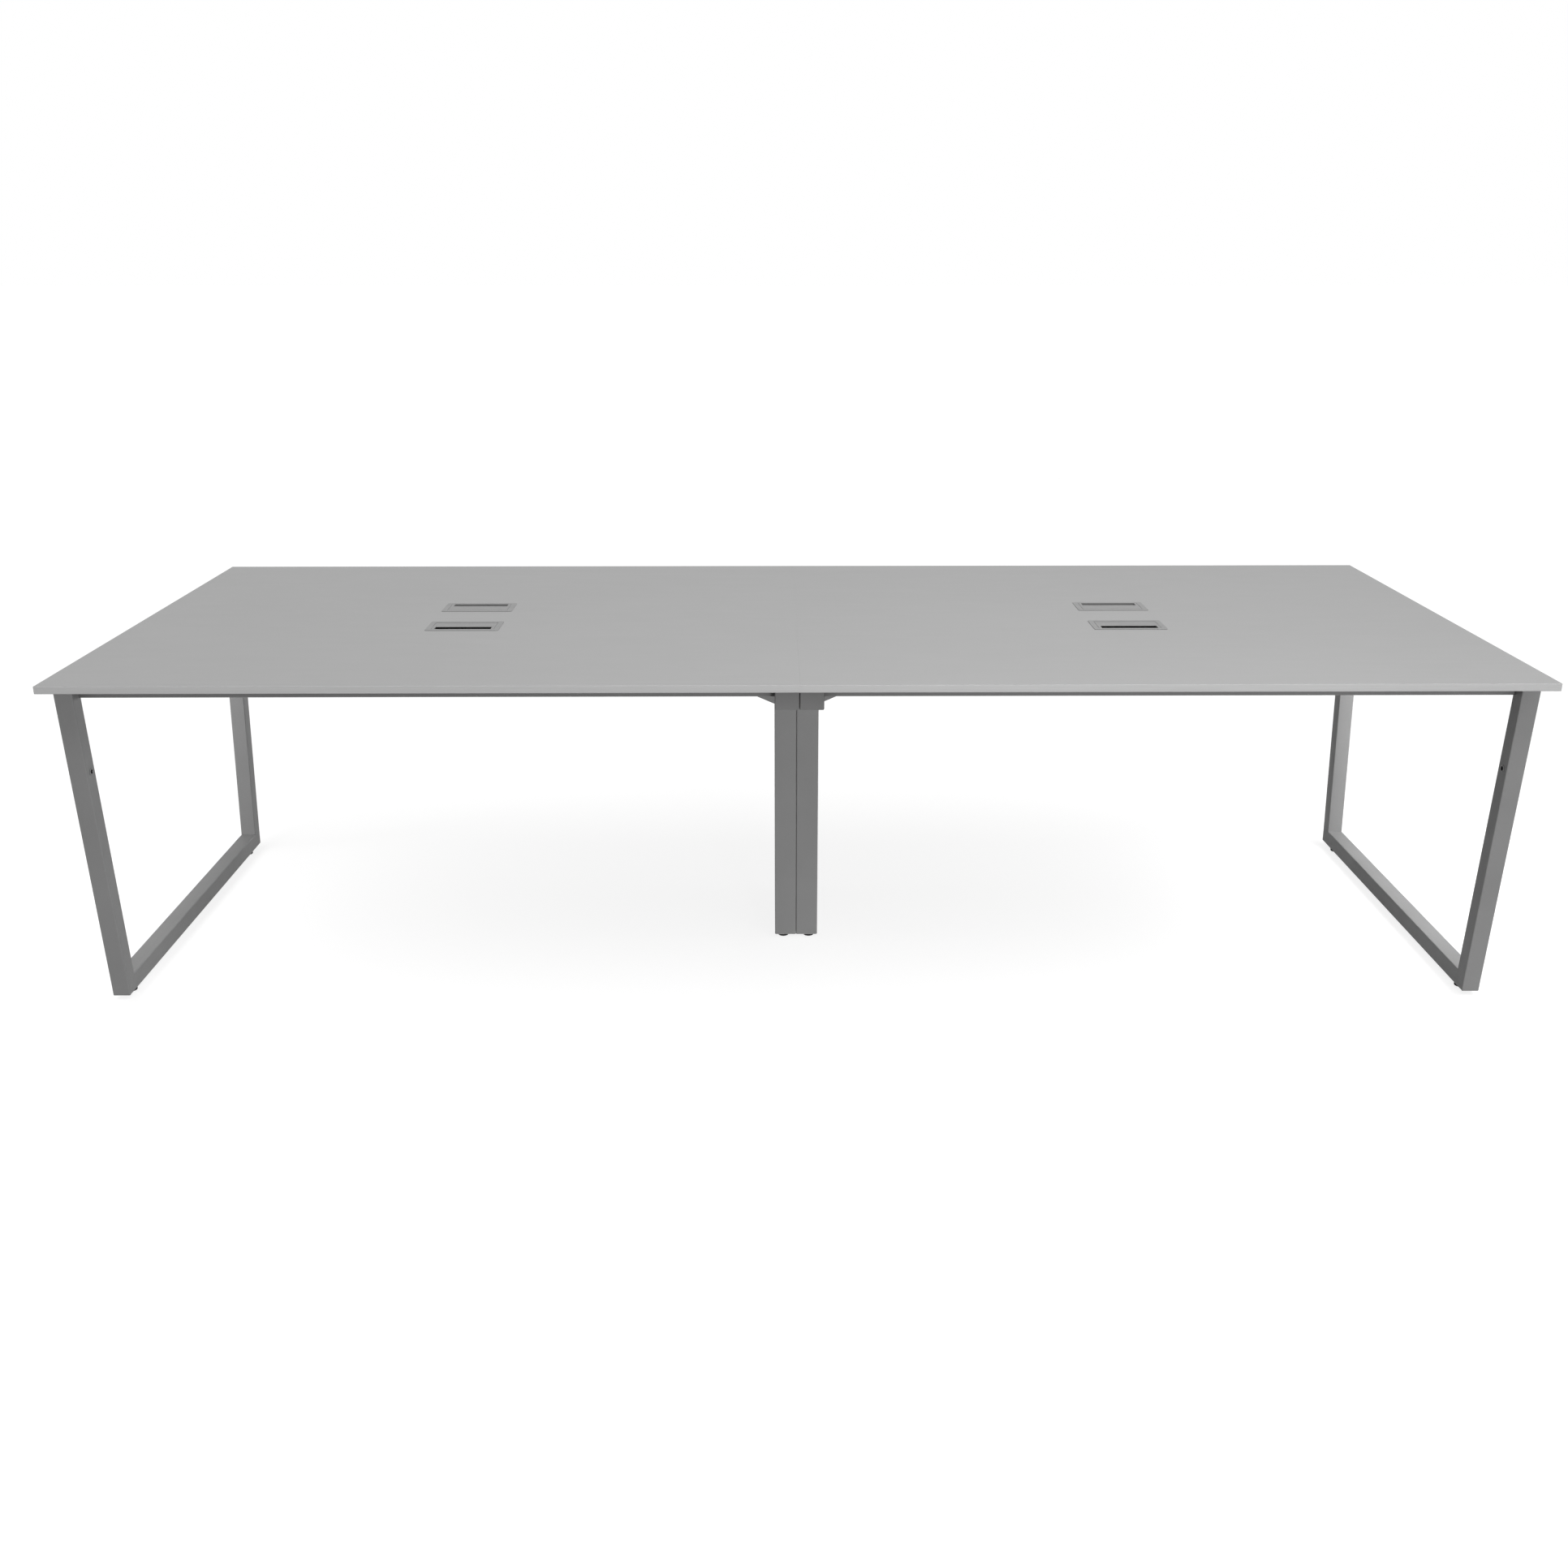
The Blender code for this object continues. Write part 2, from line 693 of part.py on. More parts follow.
def build_column(side, sign):
    """Half of the column: a sheet-metal riser that is open at both ends, with a mouth for the tray."""
    name = f"column_{side}"
    shell = add_box(
        name,
        (sign * FIT / 2, -tray_half_width, frame_bottom),
        (sign * column_half_width, tray_half_width, column_top),
        FRAME_PAINT,
    )
    round_edges(shell, along((0, 0, 1)), TUBE_CORNER)
    inner_near = FIT / 2 + COLUMN_SHEET
    inner_far = column_half_width - COLUMN_SHEET
    inner_y = tray_half_width - COLUMN_SHEET
    hollow = add_box(
        f"{name}_hollow",
        (sign * inner_near, -inner_y, frame_bottom - REACH_PAST),
        (sign * inner_far, inner_y, column_top + REACH_PAST),
    )
    cut(shell, hollow)
    mouth_y = tray_half_width - MOUTH_MARGIN
    mouth = add_box(
        f"{name}_mouth",
        (sign * (inner_far - REACH_PAST), -mouth_y, ramp_foot + TRAY_SHEET),
        (sign * (column_half_width + REACH_PAST), mouth_y, column_top - MOUTH_MARGIN),
    )
    cut(shell, mouth)

    plate_name = f"column_base_{side}"
    plate = add_box(
        plate_name,
        (sign * (inner_near + FIT), FIT - inner_y, flange_bottom),
        (sign * (inner_far - FIT), inner_y - FIT, flange_bottom + BASE_PLATE_THICKNESS),
        ZINC_STEEL,
    )
    opening = add_box(
        f"{plate_name}_opening",
        (sign * (inner_near + BASE_OPENING_MARGIN), -BASE_OPENING_LENGTH / 2, flange_bottom - REACH_PAST),
        (sign * (inner_far - BASE_OPENING_MARGIN), BASE_OPENING_LENGTH / 2, frame_bottom + REACH_PAST),
    )
    cut(plate, opening)
    for end_name, end_sign in ENDS.items():
        spot = (
            sign * (column_half_width - COLUMN_FOOT_EDGE),
            end_sign * (tray_half_width - COLUMN_FOOT_INSET),
        )
        cut_round_hole(
            plate,
            f"{plate_name}_hole_{end_name}",
            (*spot, flange_bottom - REACH_PAST),
            (*spot, frame_bottom + REACH_PAST),
            insert_bore,
            ROUND_SEGMENTS,
        )
        add_foot(f"column_foot_{end_name}_{side}", spot)


# Cable trays


def build_tray(side, sign):
    """A folded trough under the ports, with a ramp that leads down to the column's mouth."""
    name = f"cable_tray_{side}"
    ramp_top = tray_start + RAMP_RUN
    outline = [
        (sign * tray_start, frame_top),
        (sign * tray_start, ramp_foot),
        (sign * ramp_top, tray_floor),
        (sign * tray_end, tray_floor),
        (sign * tray_end, frame_top),
    ]
    tray = add_prism(name, outline, "Y", -tray_half_width, tray_half_width, TRAY_PAINT)
    slope = RAMP_DROP / RAMP_RUN
    lift = TRAY_SHEET * math.hypot(1, slope)
    past_start = tray_start - REACH_PAST
    hollow_outline = [
        (sign * past_start, frame_top + REACH_PAST),
        (sign * past_start, ramp_foot + lift - REACH_PAST * slope),
        (sign * (ramp_top - (lift - TRAY_SHEET) / slope), tray_floor + TRAY_SHEET),
        (sign * (tray_end - TRAY_SHEET), tray_floor + TRAY_SHEET),
        (sign * (tray_end - TRAY_SHEET), frame_top + REACH_PAST),
    ]
    hollow_y = tray_half_width - TRAY_SHEET
    cut(tray, add_prism(f"{name}_hollow", hollow_outline, "Y", -hollow_y, hollow_y))
    end_gap = add_box(
        f"{name}_end_gap",
        (sign * (tray_end - REACH_PAST), -hollow_y, tray_floor + TRAY_END_LIP),
        (sign * (tray_end + REACH_PAST), hollow_y, frame_top + REACH_PAST),
    )
    cut(tray, end_gap)
    for end_name, end_sign in ENDS.items():
        flange = add_box(
            f"{name}_flange_{end_name}",
            (sign * (tray_start + TRAY_FLANGE), end_sign * (tray_half_width - TRAY_SHEET / 2), frame_top),
            (
                sign * (tray_end - TRAY_FLANGE),
                end_sign * (tray_half_width + TRAY_FLANGE),
                frame_top - TRAY_SHEET,
            ),
        )
        join(tray, flange)


# Cable ports


def build_port(end_name, end_sign, side, sign):
    place = f"{end_name}_{side}"
    centre_x = sign * port_x

    def spot(x, y, z=None):
        """A point of the port, with x from its middle and y from the middle of the desk."""
        plan = (centre_x + x, end_sign * y)
        return plan if z is None else (*plan, z)

    build_bezel(f"port_bezel_{place}", spot)
    build_lid(f"port_lid_{place}", spot)
    pin_half = opening_half + PIN_SEAT - FIT
    add_rod(
        f"hinge_pin_{place}",
        spot(-pin_half, hinge_y, hinge_z),
        spot(pin_half, hinge_y, hinge_z),
        PIN_RADIUS,
        ROUND_SEGMENTS,
        ZINC_STEEL,
    )


def build_bezel(name, spot):
    flange = rounded_rectangle(
        spot(-BEZEL_LENGTH / 2, PORT_Y - BEZEL_DEPTH / 2),
        spot(BEZEL_LENGTH / 2, PORT_Y + BEZEL_DEPTH / 2),
        BEZEL_CORNER,
    )
    bezel = add_prism(name, flange, "Z", TABLE_HEIGHT + FIT, bezel_top, PORT_PLASTIC)
    upper = (bezel_top - TABLE_HEIGHT - FIT) / 2

    def picked(start, end):
        return min(start.z, end.z) > upper - FIT

    round_edges(bezel, picked, BEZEL_EDGE)
    collar = add_prism(
        f"{name}_collar",
        rounded_rectangle(
            spot(-opening_half - COLLAR_WALL, opening_back - COLLAR_WALL),
            spot(opening_half + COLLAR_WALL, opening_front + COLLAR_WALL),
            COLLAR_WALL,
        ),
        "Z",
        underside - COLLAR_DROP,
        TABLE_HEIGHT + OVERLAP,
    )
    join(bezel, collar)
    opening = add_box(
        f"{name}_opening",
        spot(-opening_half, opening_back, underside - COLLAR_DROP - REACH_PAST),
        spot(opening_half, opening_front, bezel_top + REACH_PAST),
    )
    cut(bezel, opening)
    for turn in (-1, 1):
        rest = add_box(
            f"{name}_rest_{'left' if turn < 0 else 'right'}",
            spot(turn * (SLOT_LENGTH / 2 + LID_CLEARANCE), opening_front - REST_DEPTH, lid_bottom - FIT),
            spot(
                turn * (opening_half + COLLAR_WALL / 2),
                opening_front + COLLAR_WALL / 2,
                lid_bottom - FIT - REST_THICKNESS,
            ),
        )
        join(bezel, rest)
    hole_half = opening_half + PIN_SEAT
    cut_round_hole(
        bezel,
        f"{name}_pin_hole",
        spot(-hole_half, hinge_y, hinge_z),
        spot(hole_half, hinge_y, hinge_z),
        PIN_RADIUS + FIT,
        ROUND_SEGMENTS,
    )


def build_lid(name, spot):
    """A lid that flips up, with its origin on the hinge axis and a notch for cables in its free edge."""
    half = opening_half - LID_CLEARANCE
    free_edge = opening_front - LID_CLEARANCE
    outline = rounded_rectangle(spot(-half, hinge_y - LID_CORNER), spot(half, free_edge), LID_CORNER)
    lid = add_prism(name, outline, "Z", lid_bottom, bezel_top, PORT_PLASTIC)
    trim = add_box(
        f"{name}_trim",
        spot(-half - OVERLAP, hinge_y, lid_bottom - OVERLAP),
        spot(half + OVERLAP, hinge_y - 2 * LID_CORNER, bezel_top + OVERLAP),
    )
    cut(lid, trim)
    barrel = add_rod(
        f"{name}_barrel",
        spot(-half, hinge_y, hinge_z),
        spot(half, hinge_y, hinge_z),
        HINGE_RADIUS,
        HINGE_SEGMENTS,
    )
    join(lid, barrel)
    notch = add_box(
        f"{name}_notch",
        spot(-SLOT_LENGTH / 2, opening_front - SLOT_WIDTH, lid_bottom - OVERLAP),
        spot(SLOT_LENGTH / 2, opening_front + OVERLAP, bezel_top + OVERLAP),
    )
    cut(lid, notch)
    cut_round_hole(
        lid,
        f"{name}_bore",
        spot(-half - OVERLAP, hinge_y, hinge_z),
        spot(half + OVERLAP, hinge_y, hinge_z),
        PIN_RADIUS + FIT,
        ROUND_SEGMENTS,
    )
    set_origin(lid, spot(0, hinge_y, hinge_z))


# Assembly

for side_name, side_sign in SIDES.items():
    build_desktop(side_name, side_sign)
    build_end_frame(side_name, side_sign)
    build_crossbeam(side_name, side_sign)
    build_column(side_name, side_sign)
    build_tray(side_name, side_sign)
    for end_label, end_direction in ENDS.items():
        build_beam(end_label, end_direction, side_name, side_sign)
        build_port(end_label, end_direction, side_name, side_sign)
build_joining_bolts()
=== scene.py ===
import json
import math

import bmesh
import bpy
from mathutils import Matrix, Vector


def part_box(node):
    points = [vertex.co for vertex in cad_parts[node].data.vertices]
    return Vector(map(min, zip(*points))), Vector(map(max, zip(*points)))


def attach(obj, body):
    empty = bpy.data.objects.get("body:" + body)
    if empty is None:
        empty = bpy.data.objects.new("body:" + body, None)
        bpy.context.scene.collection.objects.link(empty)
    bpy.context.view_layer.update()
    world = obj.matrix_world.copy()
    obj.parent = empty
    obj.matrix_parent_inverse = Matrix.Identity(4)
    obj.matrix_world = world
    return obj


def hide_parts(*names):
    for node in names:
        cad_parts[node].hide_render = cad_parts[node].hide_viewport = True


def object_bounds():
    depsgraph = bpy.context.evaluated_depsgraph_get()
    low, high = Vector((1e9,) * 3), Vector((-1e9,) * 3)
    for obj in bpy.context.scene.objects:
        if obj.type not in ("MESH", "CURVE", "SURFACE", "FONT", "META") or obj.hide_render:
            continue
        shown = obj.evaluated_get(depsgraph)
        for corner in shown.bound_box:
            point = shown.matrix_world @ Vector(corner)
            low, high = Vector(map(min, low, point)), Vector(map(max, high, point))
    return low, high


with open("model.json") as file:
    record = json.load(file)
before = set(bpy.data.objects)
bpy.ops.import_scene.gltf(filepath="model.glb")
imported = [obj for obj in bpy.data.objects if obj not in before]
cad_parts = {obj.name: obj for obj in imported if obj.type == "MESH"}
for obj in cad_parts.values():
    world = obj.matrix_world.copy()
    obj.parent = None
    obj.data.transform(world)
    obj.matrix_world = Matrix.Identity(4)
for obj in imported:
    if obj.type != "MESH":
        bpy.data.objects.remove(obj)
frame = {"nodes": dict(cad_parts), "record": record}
cad_low, cad_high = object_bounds()

# Camera, fitted to the photograph's edges
CAMERA_PLACE = (-0.0543, -3.565, 1.5689)
CAMERA_PITCH = 0.3325
CAMERA_YAW = -0.0075
CAMERA_LENS = 35.97
CAMERA_SENSOR = 36.0

# Lights and floor: places, sizes and levels
SKY_LEVEL = 0.40
SUN_LEVEL = 1.30
SUN_SPREAD = math.radians(50)
SUN_FROM = (0.40, -0.25, 0.88)
SOFTBOX_REACH = 3.4
SOFTBOX_Y = -0.20
SOFTBOX_HEIGHT = 0.48
SOFTBOX_AIM = (1.45, 0.10, 0.25)
SOFTBOX_SIZE = 0.52
SOFTBOX_POWER = {"left": 14.0, "right": 10.0}
FILL_X = 2.0
FILL_REACH = 7.5
FILL_HEIGHT = 0.36
FILL_AIM = (0.0, 0.0, 0.36)
FILL_SIZE = 0.76
FILL_POWER = {"front": 282.0, "rear": 165.0}
KEY_PLACE = (0.9, -1.6, 2.6)
KEY_AIM = (0.3, -0.2, 0.75)
KEY_SIZE = 1.4
KEY_POWER = 14.5
RAIL_LIGHT_X = 1.72
RAIL_LIGHT_HEIGHT = 0.70
RAIL_LIGHT_WIDTH = 0.30
RAIL_LIGHT_LENGTH = 0.95
RAIL_LIGHT_POWER = {"left": 4.0, "right": 6.9}
FLOOR_SIZE = 120.0
FLOOR_CELLS = 8
FLOOR_DROP = 0.0002
FLOOR_GREY = 0.26
FLOOR_ROUGHNESS = 0.9
FLOOR_LIFT = 0.83

# Tones of the finishes
LAMINATE_GREY = 0.44
BAND_GREY = 0.42
BACKING_GREY = 0.38
PAINT_GREY = 0.22
# The column's paint is the frame's paint made lighter: painted light against the shade under the
# top
LIT_COLUMN_GREY = 0.255
PORT_GREY = 0.29
FOOT_GREY = 0.010
ZINC_GREY = 0.56
# Near-black for the rivet nuts' bores: painted shade in the holes
BORE_SHADE_GREY = 0.05
# Share of the tone left in the beams' corners and under the top: painted shade
CORNER_SHADE_TONE = 0.45
# Share of the zinc's tone left in sockets and bores: painted shade
SOCKET_SHADE_TONE = 0.10

# Roughness from low to high, gloss and relief of the finishes
LAMINATE_ROUGHNESS = (0.60, 0.72)
BAND_ROUGHNESS = (0.42, 0.52)
PAINT_ROUGHNESS = (0.40, 0.54)
TRAY_ROUGHNESS = (0.44, 0.58)
PORT_ROUGHNESS = (0.44, 0.56)
FOOT_ROUGHNESS = (0.50, 0.66)
ZINC_ROUGHNESS = (0.31, 0.47)
LAMINATE_GLOSS = 0.18
PAINT_GLOSS = 0.10
PORT_GLOSS = 0.32
FOOT_GLOSS = 0.12
PAINT_PEEL = 0.22
TRAY_PEEL = 0.18
PORT_TEXTURE = 0.14
FOOT_TEXTURE = 0.18

# Worn edges: factors on tone and roughness, and the share of the paint that wears
LAMINATE_WORN_TONE = 1.12
PAINT_WORN_TONE = 1.45
PAINT_WORN_SHARE = 0.45
PLASTIC_WORN_TONE = 1.15
WORN_ROUGHNESS = 0.8

# Table top
BAND_THICKNESS = 0.0018
BACKING_THICKNESS = 0.0006
SEAM_SINK = 0.00012
SEAM_SLACK = 0.00002
SEAM_EDGE_SHARE = 1 / 3

# Square tube and sheet
TUBE_WALL = 0.0015
TUBE_CORNER = 0.0025
CROSSBEAM_WALL = 0.0020
MITRE_GAP = 0.0003
WELD_SINK = 0.00008
WELD_WIDTH = 0.0008
TAB_THICKNESS = 0.003
TRAY_SHEET = 0.0012
TRAY_FLANGE = 0.020

# Cable ports
BEZEL_RIM = 0.012
BEZEL_EDGE = 0.0006
BEZEL_CORNER = 0.005
BEZEL_HEIGHT = 0.0009
BEZEL_LIP = 0.0004
COLLAR_WALL = 0.002
REST_HALF = 0.064
REST_DEPTH = 0.006
REST_TOP = 0.0033
REST_THICKNESS = 0.003
LID_THICKNESS = 0.003
LID_EDGE = 0.0005
LID_CORNER = 0.0025
NOTCH_HALF = 0.0635
NOTCH_DEPTH = 0.0215
NOTCH_CORNER = 0.0012
FINGER_RELIEF = 0.006
FINGER_EDGE = 0.0010
HINGE_RADIUS = 0.0032
KNUCKLE_SINK = 0.0001

# Threads
THREAD_PITCH = 0.00125
THREAD_DEPTH = 0.0006
THREAD_STEPS = 6

# Levelling feet. The pad's outline goes from its sole, over its ribs, to its top:
# (share of the radius, height), (step in, height), (step in, rib depth, height), (step in, drop)
STUD_RADIUS = 0.004
STUD_SEAT = 0.0006
STUD_POINT = 0.0010
STUD_BEVEL = 0.0004
PAD_HEIGHT = 0.0095
PAD_RADIUS = 0.0125
PAD_RIBS = 20
PAD_GROOVE = ((0.62, 0.0), (0.64, 0.0004), (0.70, 0.0004), (0.72, 0.0))
PAD_EDGE = ((0.0013, 0.0), (0.0005, 0.0004), (0.0, 0.0013), (0.0, 0.0020))
PAD_RIB_BAND = ((0.0, 0.0007, 0.0024), (0.0, 0.0007, 0.0058), (0.0004, 0.0006, 0.0064))
PAD_SHOULDER = ((0.0014, 0.0021), (0.0030, 0.0003), (0.0036, 0.0))

# Rivet nuts. The bulb behind the tube's wall is (step out, height), and the paint and the bore's
# painted shade are places in the piece's list of materials
INSERT_BORE = 0.0043
INSERT_RADIUS = 0.0055
INSERT_LENGTH = 0.0120
INSERT_FLANGE = 0.002
INSERT_FLANGE_THICKNESS = 0.0010
INSERT_SEAT = 0.0003
INSERT_MOUTH = 0.0005
INSERT_EDGE = 0.0003
INSERT_TAIL = 0.0002
INSERT_BULB = ((0.0, 0.0018), (0.0012, 0.0018), (0.0012, 0.0030), (0.0, 0.0048))
INSERT_PAINT = 1
INSERT_BORE_SHADE = 2

# Button heads, in shares of their radius and height, or of the socket's radius
BUTTON_DOME = ((1.0, 0.0), (1.0, 0.22), (0.97, 0.42), (0.88, 0.66), (0.74, 0.86), (0.58, 0.98))
SOCKET_SHARE = 0.42
SOCKET_RIM = 1.25
SOCKET_WALL = ((1.04, 0.98), (1.0, 0.90), (1.0, 0.38))
SOCKET_FLOOR = 0.30
LOBE_DEPTH = 0.14

# Screws and tab bolts
TRAY_SCREWS = (0.08, 0.36, 0.64, 0.92)
TRAY_SCREW_RADIUS = 0.0045
TRAY_SCREW_HEIGHT = 0.0026
TAB_BOLT_RADIUS = 0.0052
TAB_BOLT_HEIGHT = 0.0032
TAB_BOLT_INSET = 0.015
TAB_SHANK_RADIUS = 0.0030
TAB_SHANK_DEPTH = 0.0030
WASHER_BORE = 0.0031
WASHER_RADIUS = 0.0064
WASHER_THICKNESS = 0.0010
WASHER_EDGE = 0.0002
BEAM_SCREW_SHARES = (0.15, 0.5, 0.85)
RAIL_SCREW_Y = 0.262
CROSSBEAM_SCREW_Y = 0.414
TOP_SCREW_RADIUS = 0.0040
TOP_SCREW_HEIGHT = 0.0024

# Joining bolts and nuts. Faces, crowns and the collar are shares of half the width across flats
HEX_SIDES = 6
BOLT_FACE = 0.90
BOLT_CROWN = ((1.02, 0.0004), (1.08, 0.0008))
BOLT_CROWN_HEIGHT = 0.0013
BOLT_COLLAR = 0.98
BOLT_COLLAR_HEIGHT = 0.0002
BOLT_COLLAR_STEP = 0.0001
BOLT_THREAD = 0.0150
BOLT_POINT = 0.0008
BOLT_BEVEL = 0.0010
NUT_FACE = 0.92
NUT_CROWN = ((1.03, 0.0004),)
NUT_CROWN_HEIGHT = 0.0012
NUT_SLACK = 0.0002
NUT_MOUTH = 0.0004
NUT_MOUTH_DEPTH = 0.0003

# Edges of tubes and sheet
DEBURR = 0.0006
DEBURR_LIMIT = math.radians(60)
DEBURRED_SLOTS = ("frame_paint", "tray_paint", "zinc_steel")
FLAT_LIMIT = math.radians(0.5)

# Steps of round shapes
DEBURR_STEPS = 2
BOX_EDGE_STEPS = 3
LIP_STEPS = 3
BEZEL_EDGE_STEPS = 6
OUTLINE_STEPS = 8
SOFT_CORNER_STEPS = 6
WELD_CORNER_STEPS = 4
RIB_STEPS = 6
SHANK_SEGMENTS = 24
BARREL_SEGMENTS = 32
HEAD_SEGMENTS = 36
HEX_SEGMENTS = 48

# Shading samples, and shading and welding limits
BEVEL_SAMPLES = 4
# Samples for the occlusion that drives the painted shade
SHADE_SAMPLES = 6
SMOOTH_TUBE = math.radians(50)
SMOOTH_FOLD = math.radians(15)
SMOOTH_PIECE = math.radians(40)
WELD = 1e-5
CLEAN = 2e-6

SIDES = {"left": -1, "right": 1}
ENDS = {"front": -1, "rear": 1}
PLACES = [(f"{end}_{side}", ENDS[end], SIDES[side]) for end in ENDS for side in SIDES]
COLUMN_NODES = [f"column_{side}" for side in SIDES]


# Materials


class Finish:
    """A node material, with short calls for the node kinds that the finishes share."""

    def __init__(self, name):
        self.material = bpy.data.materials.new(name)
        self.material.use_nodes = True
        self.nodes = self.material.node_tree.nodes
        self.links = self.material.node_tree.links
        self.shader = self.nodes["Principled BSDF"]
        self.place = self.nodes.new("ShaderNodeTexCoord").outputs["Object"]
        self.relief = None

    def join(self, source, socket):
        """Links a socket's value, or sets a plain number."""
        if isinstance(source, (int, float)):
            socket.default_value = source
        else:
            self.links.new(source, socket)

    def noise(self, scale, detail=2.0, stretch=(1, 1, 1)):
        mapping = self.nodes.new("ShaderNodeMapping")
        mapping.inputs["Scale"].default_value = stretch
        self.links.new(self.place, mapping.inputs["Vector"])
        node = self.nodes.new("ShaderNodeTexNoise")
        node.inputs["Scale"].default_value = scale
        node.inputs["Detail"].default_value = detail
        self.links.new(mapping.outputs["Vector"], node.inputs["Vector"])
        return node.outputs["Fac"]

    def cells(self, scale):
        node = self.nodes.new("ShaderNodeTexVoronoi")
        node.inputs["Scale"].default_value = scale
        self.links.new(self.place, node.inputs["Vector"])
        return node.outputs["Distance"]

    def spread(self, source, low, high, start=0.3, stop=0.7):
        """Maps a value between start and stop to a range."""
        node = self.nodes.new("ShaderNodeMapRange")
        self.links.new(source, node.inputs["Value"])
        node.inputs["From Min"].default_value = start
        node.inputs["From Max"].default_value = stop
        self.join(low, node.inputs["To Min"])
        self.join(high, node.inputs["To Max"])
        return node.outputs["Result"]

    def vary(self, source, amount):
        """A factor that strays by an amount to both sides of 1."""
        return self.spread(source, 1 - amount, 1 + amount)

    def rough(self, source, limits):
        """Maps nearly the whole of a noise to a range of roughness."""
        return self.spread(source, *limits, start=0.1, stop=0.9)

    def math(self, operation, first, second):
        node = self.nodes.new("ShaderNodeMath")
        node.operation = operation
        self.join(first, node.inputs[0])
        self.join(second, node.inputs[1])
        return node.outputs["Value"]

    def product(self, result, *factors):
        for factor in factors:
            result = self.math("MULTIPLY", result, factor)
        return result

    def choose(self, mask, low, high):
        """low where the mask is 0, high where it is 1."""
        node = self.nodes.new("ShaderNodeMix")
        self.join(mask, node.inputs["Factor"])
        self.join(low, node.inputs["A"])
        self.join(high, node.inputs["B"])
        return node.outputs["Result"]

    def axis(self, letter):
        node = self.nodes.new("ShaderNodeSeparateXYZ")
        self.links.new(self.place, node.inputs["Vector"])
        return node.outputs[letter]

    def past(self, letter, distance):
        """1 where the point lies further than a distance from the middle along an axis."""
        return self.math("GREATER_THAN", self.math("ABSOLUTE", self.axis(letter), 0.0), distance)

    def edges(self, radius, start, stop):
        """About 1 along edges and 0 on flat faces."""
        bevel = self.nodes.new("ShaderNodeBevel")
        bevel.samples = BEVEL_SAMPLES
        bevel.inputs["Radius"].default_value = radius
        surface = self.nodes.new("ShaderNodeNewGeometry")
        dot = self.nodes.new("ShaderNodeVectorMath")
        dot.operation = "DOT_PRODUCT"
        self.links.new(bevel.outputs["Normal"], dot.inputs[0])
        self.links.new(surface.outputs["Normal"], dot.inputs[1])
        return self.spread(dot.outputs["Value"], low=1.0, high=0.0, start=start, stop=stop)

    def shade_mask(self, distance):
        """1 on open faces and less in corners and recesses, for painted shade."""
        node = self.nodes.new("ShaderNodeAmbientOcclusion")
        node.samples = SHADE_SAMPLES
        node.inputs["Distance"].default_value = distance
        return node.outputs["AO"]

    def bump(self, height, strength, distance):
        """Lays a bump over those before it."""
        node = self.nodes.new("ShaderNodeBump")
        node.inputs["Strength"].default_value = strength
        node.inputs["Distance"].default_value = distance
        self.links.new(height, node.inputs["Height"])
        if self.relief:
            self.links.new(self.relief, node.inputs["Normal"])
        self.relief = node.outputs["Normal"]
        self.links.new(self.relief, self.shader.inputs["Normal"])

    def surface(self, tone, roughness, gloss=0.5, metallic=0.0):
        self.join(tone, self.shader.inputs["Base Color"])
        self.join(roughness, self.shader.inputs["Roughness"])
        self.shader.inputs["Specular IOR Level"].default_value = gloss
        self.shader.inputs["Metallic"].default_value = metallic


def laminate_finish():
    """Grey melamine with a fine fleck, plastic edge bands and a plainer backing sheet."""
    finish = Finish("laminate_board")
    drift = finish.vary(finish.noise(scale=1.7, detail=3.0), amount=0.008)
    fleck = finish.vary(finish.noise(scale=900.0, detail=3.0), amount=0.045)
    streak = finish.vary(finish.noise(scale=60.0, stretch=(0.06, 1, 1)), amount=0.006)
    top = finish.product(drift, fleck, streak, LAMINATE_GREY)
    band_line = finish.vary(finish.noise(scale=420.0, stretch=(0.02, 0.02, 1)), amount=0.03)
    band = finish.product(drift, band_line, BAND_GREY)
    mottle = finish.spread(finish.noise(scale=120.0, detail=4.0), low=0.93, high=1.05)
    backing = finish.product(mottle, BACKING_GREY)
    at_end = finish.past("X", cad_high.x - BAND_THICKNESS)
    at_side = finish.past("Y", cad_high.y - BAND_THICKNESS)
    on_band = finish.math("MAXIMUM", at_end, at_side)
    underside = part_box("desktop_left")[0].z + BACKING_THICKNESS
    below = finish.math("LESS_THAN", finish.axis("Z"), underside)
    tone = finish.choose(on_band, finish.choose(below, top, backing), band)
    rubbed = finish.spread(finish.noise(scale=35.0, detail=4.0), low=0.0, high=0.5)
    wear = finish.product(finish.edges(radius=0.0012, start=0.80, stop=0.985), rubbed)
    tone = finish.choose(wear, tone, finish.product(tone, LAMINATE_WORN_TONE))
    wiped = finish.noise(scale=9.0, detail=4.0, stretch=(1, 3, 1))
    roughness = finish.choose(
        on_band,
        finish.rough(wiped, LAMINATE_ROUGHNESS),
        finish.rough(wiped, BAND_ROUGHNESS),
    )
    finish.surface(tone, roughness, LAMINATE_GLOSS)
    finish.bump(finish.noise(scale=1500.0), strength=0.10, distance=0.0003)
    finish.bump(finish.noise(scale=300.0), strength=0.05, distance=0.0005)
    return finish.material


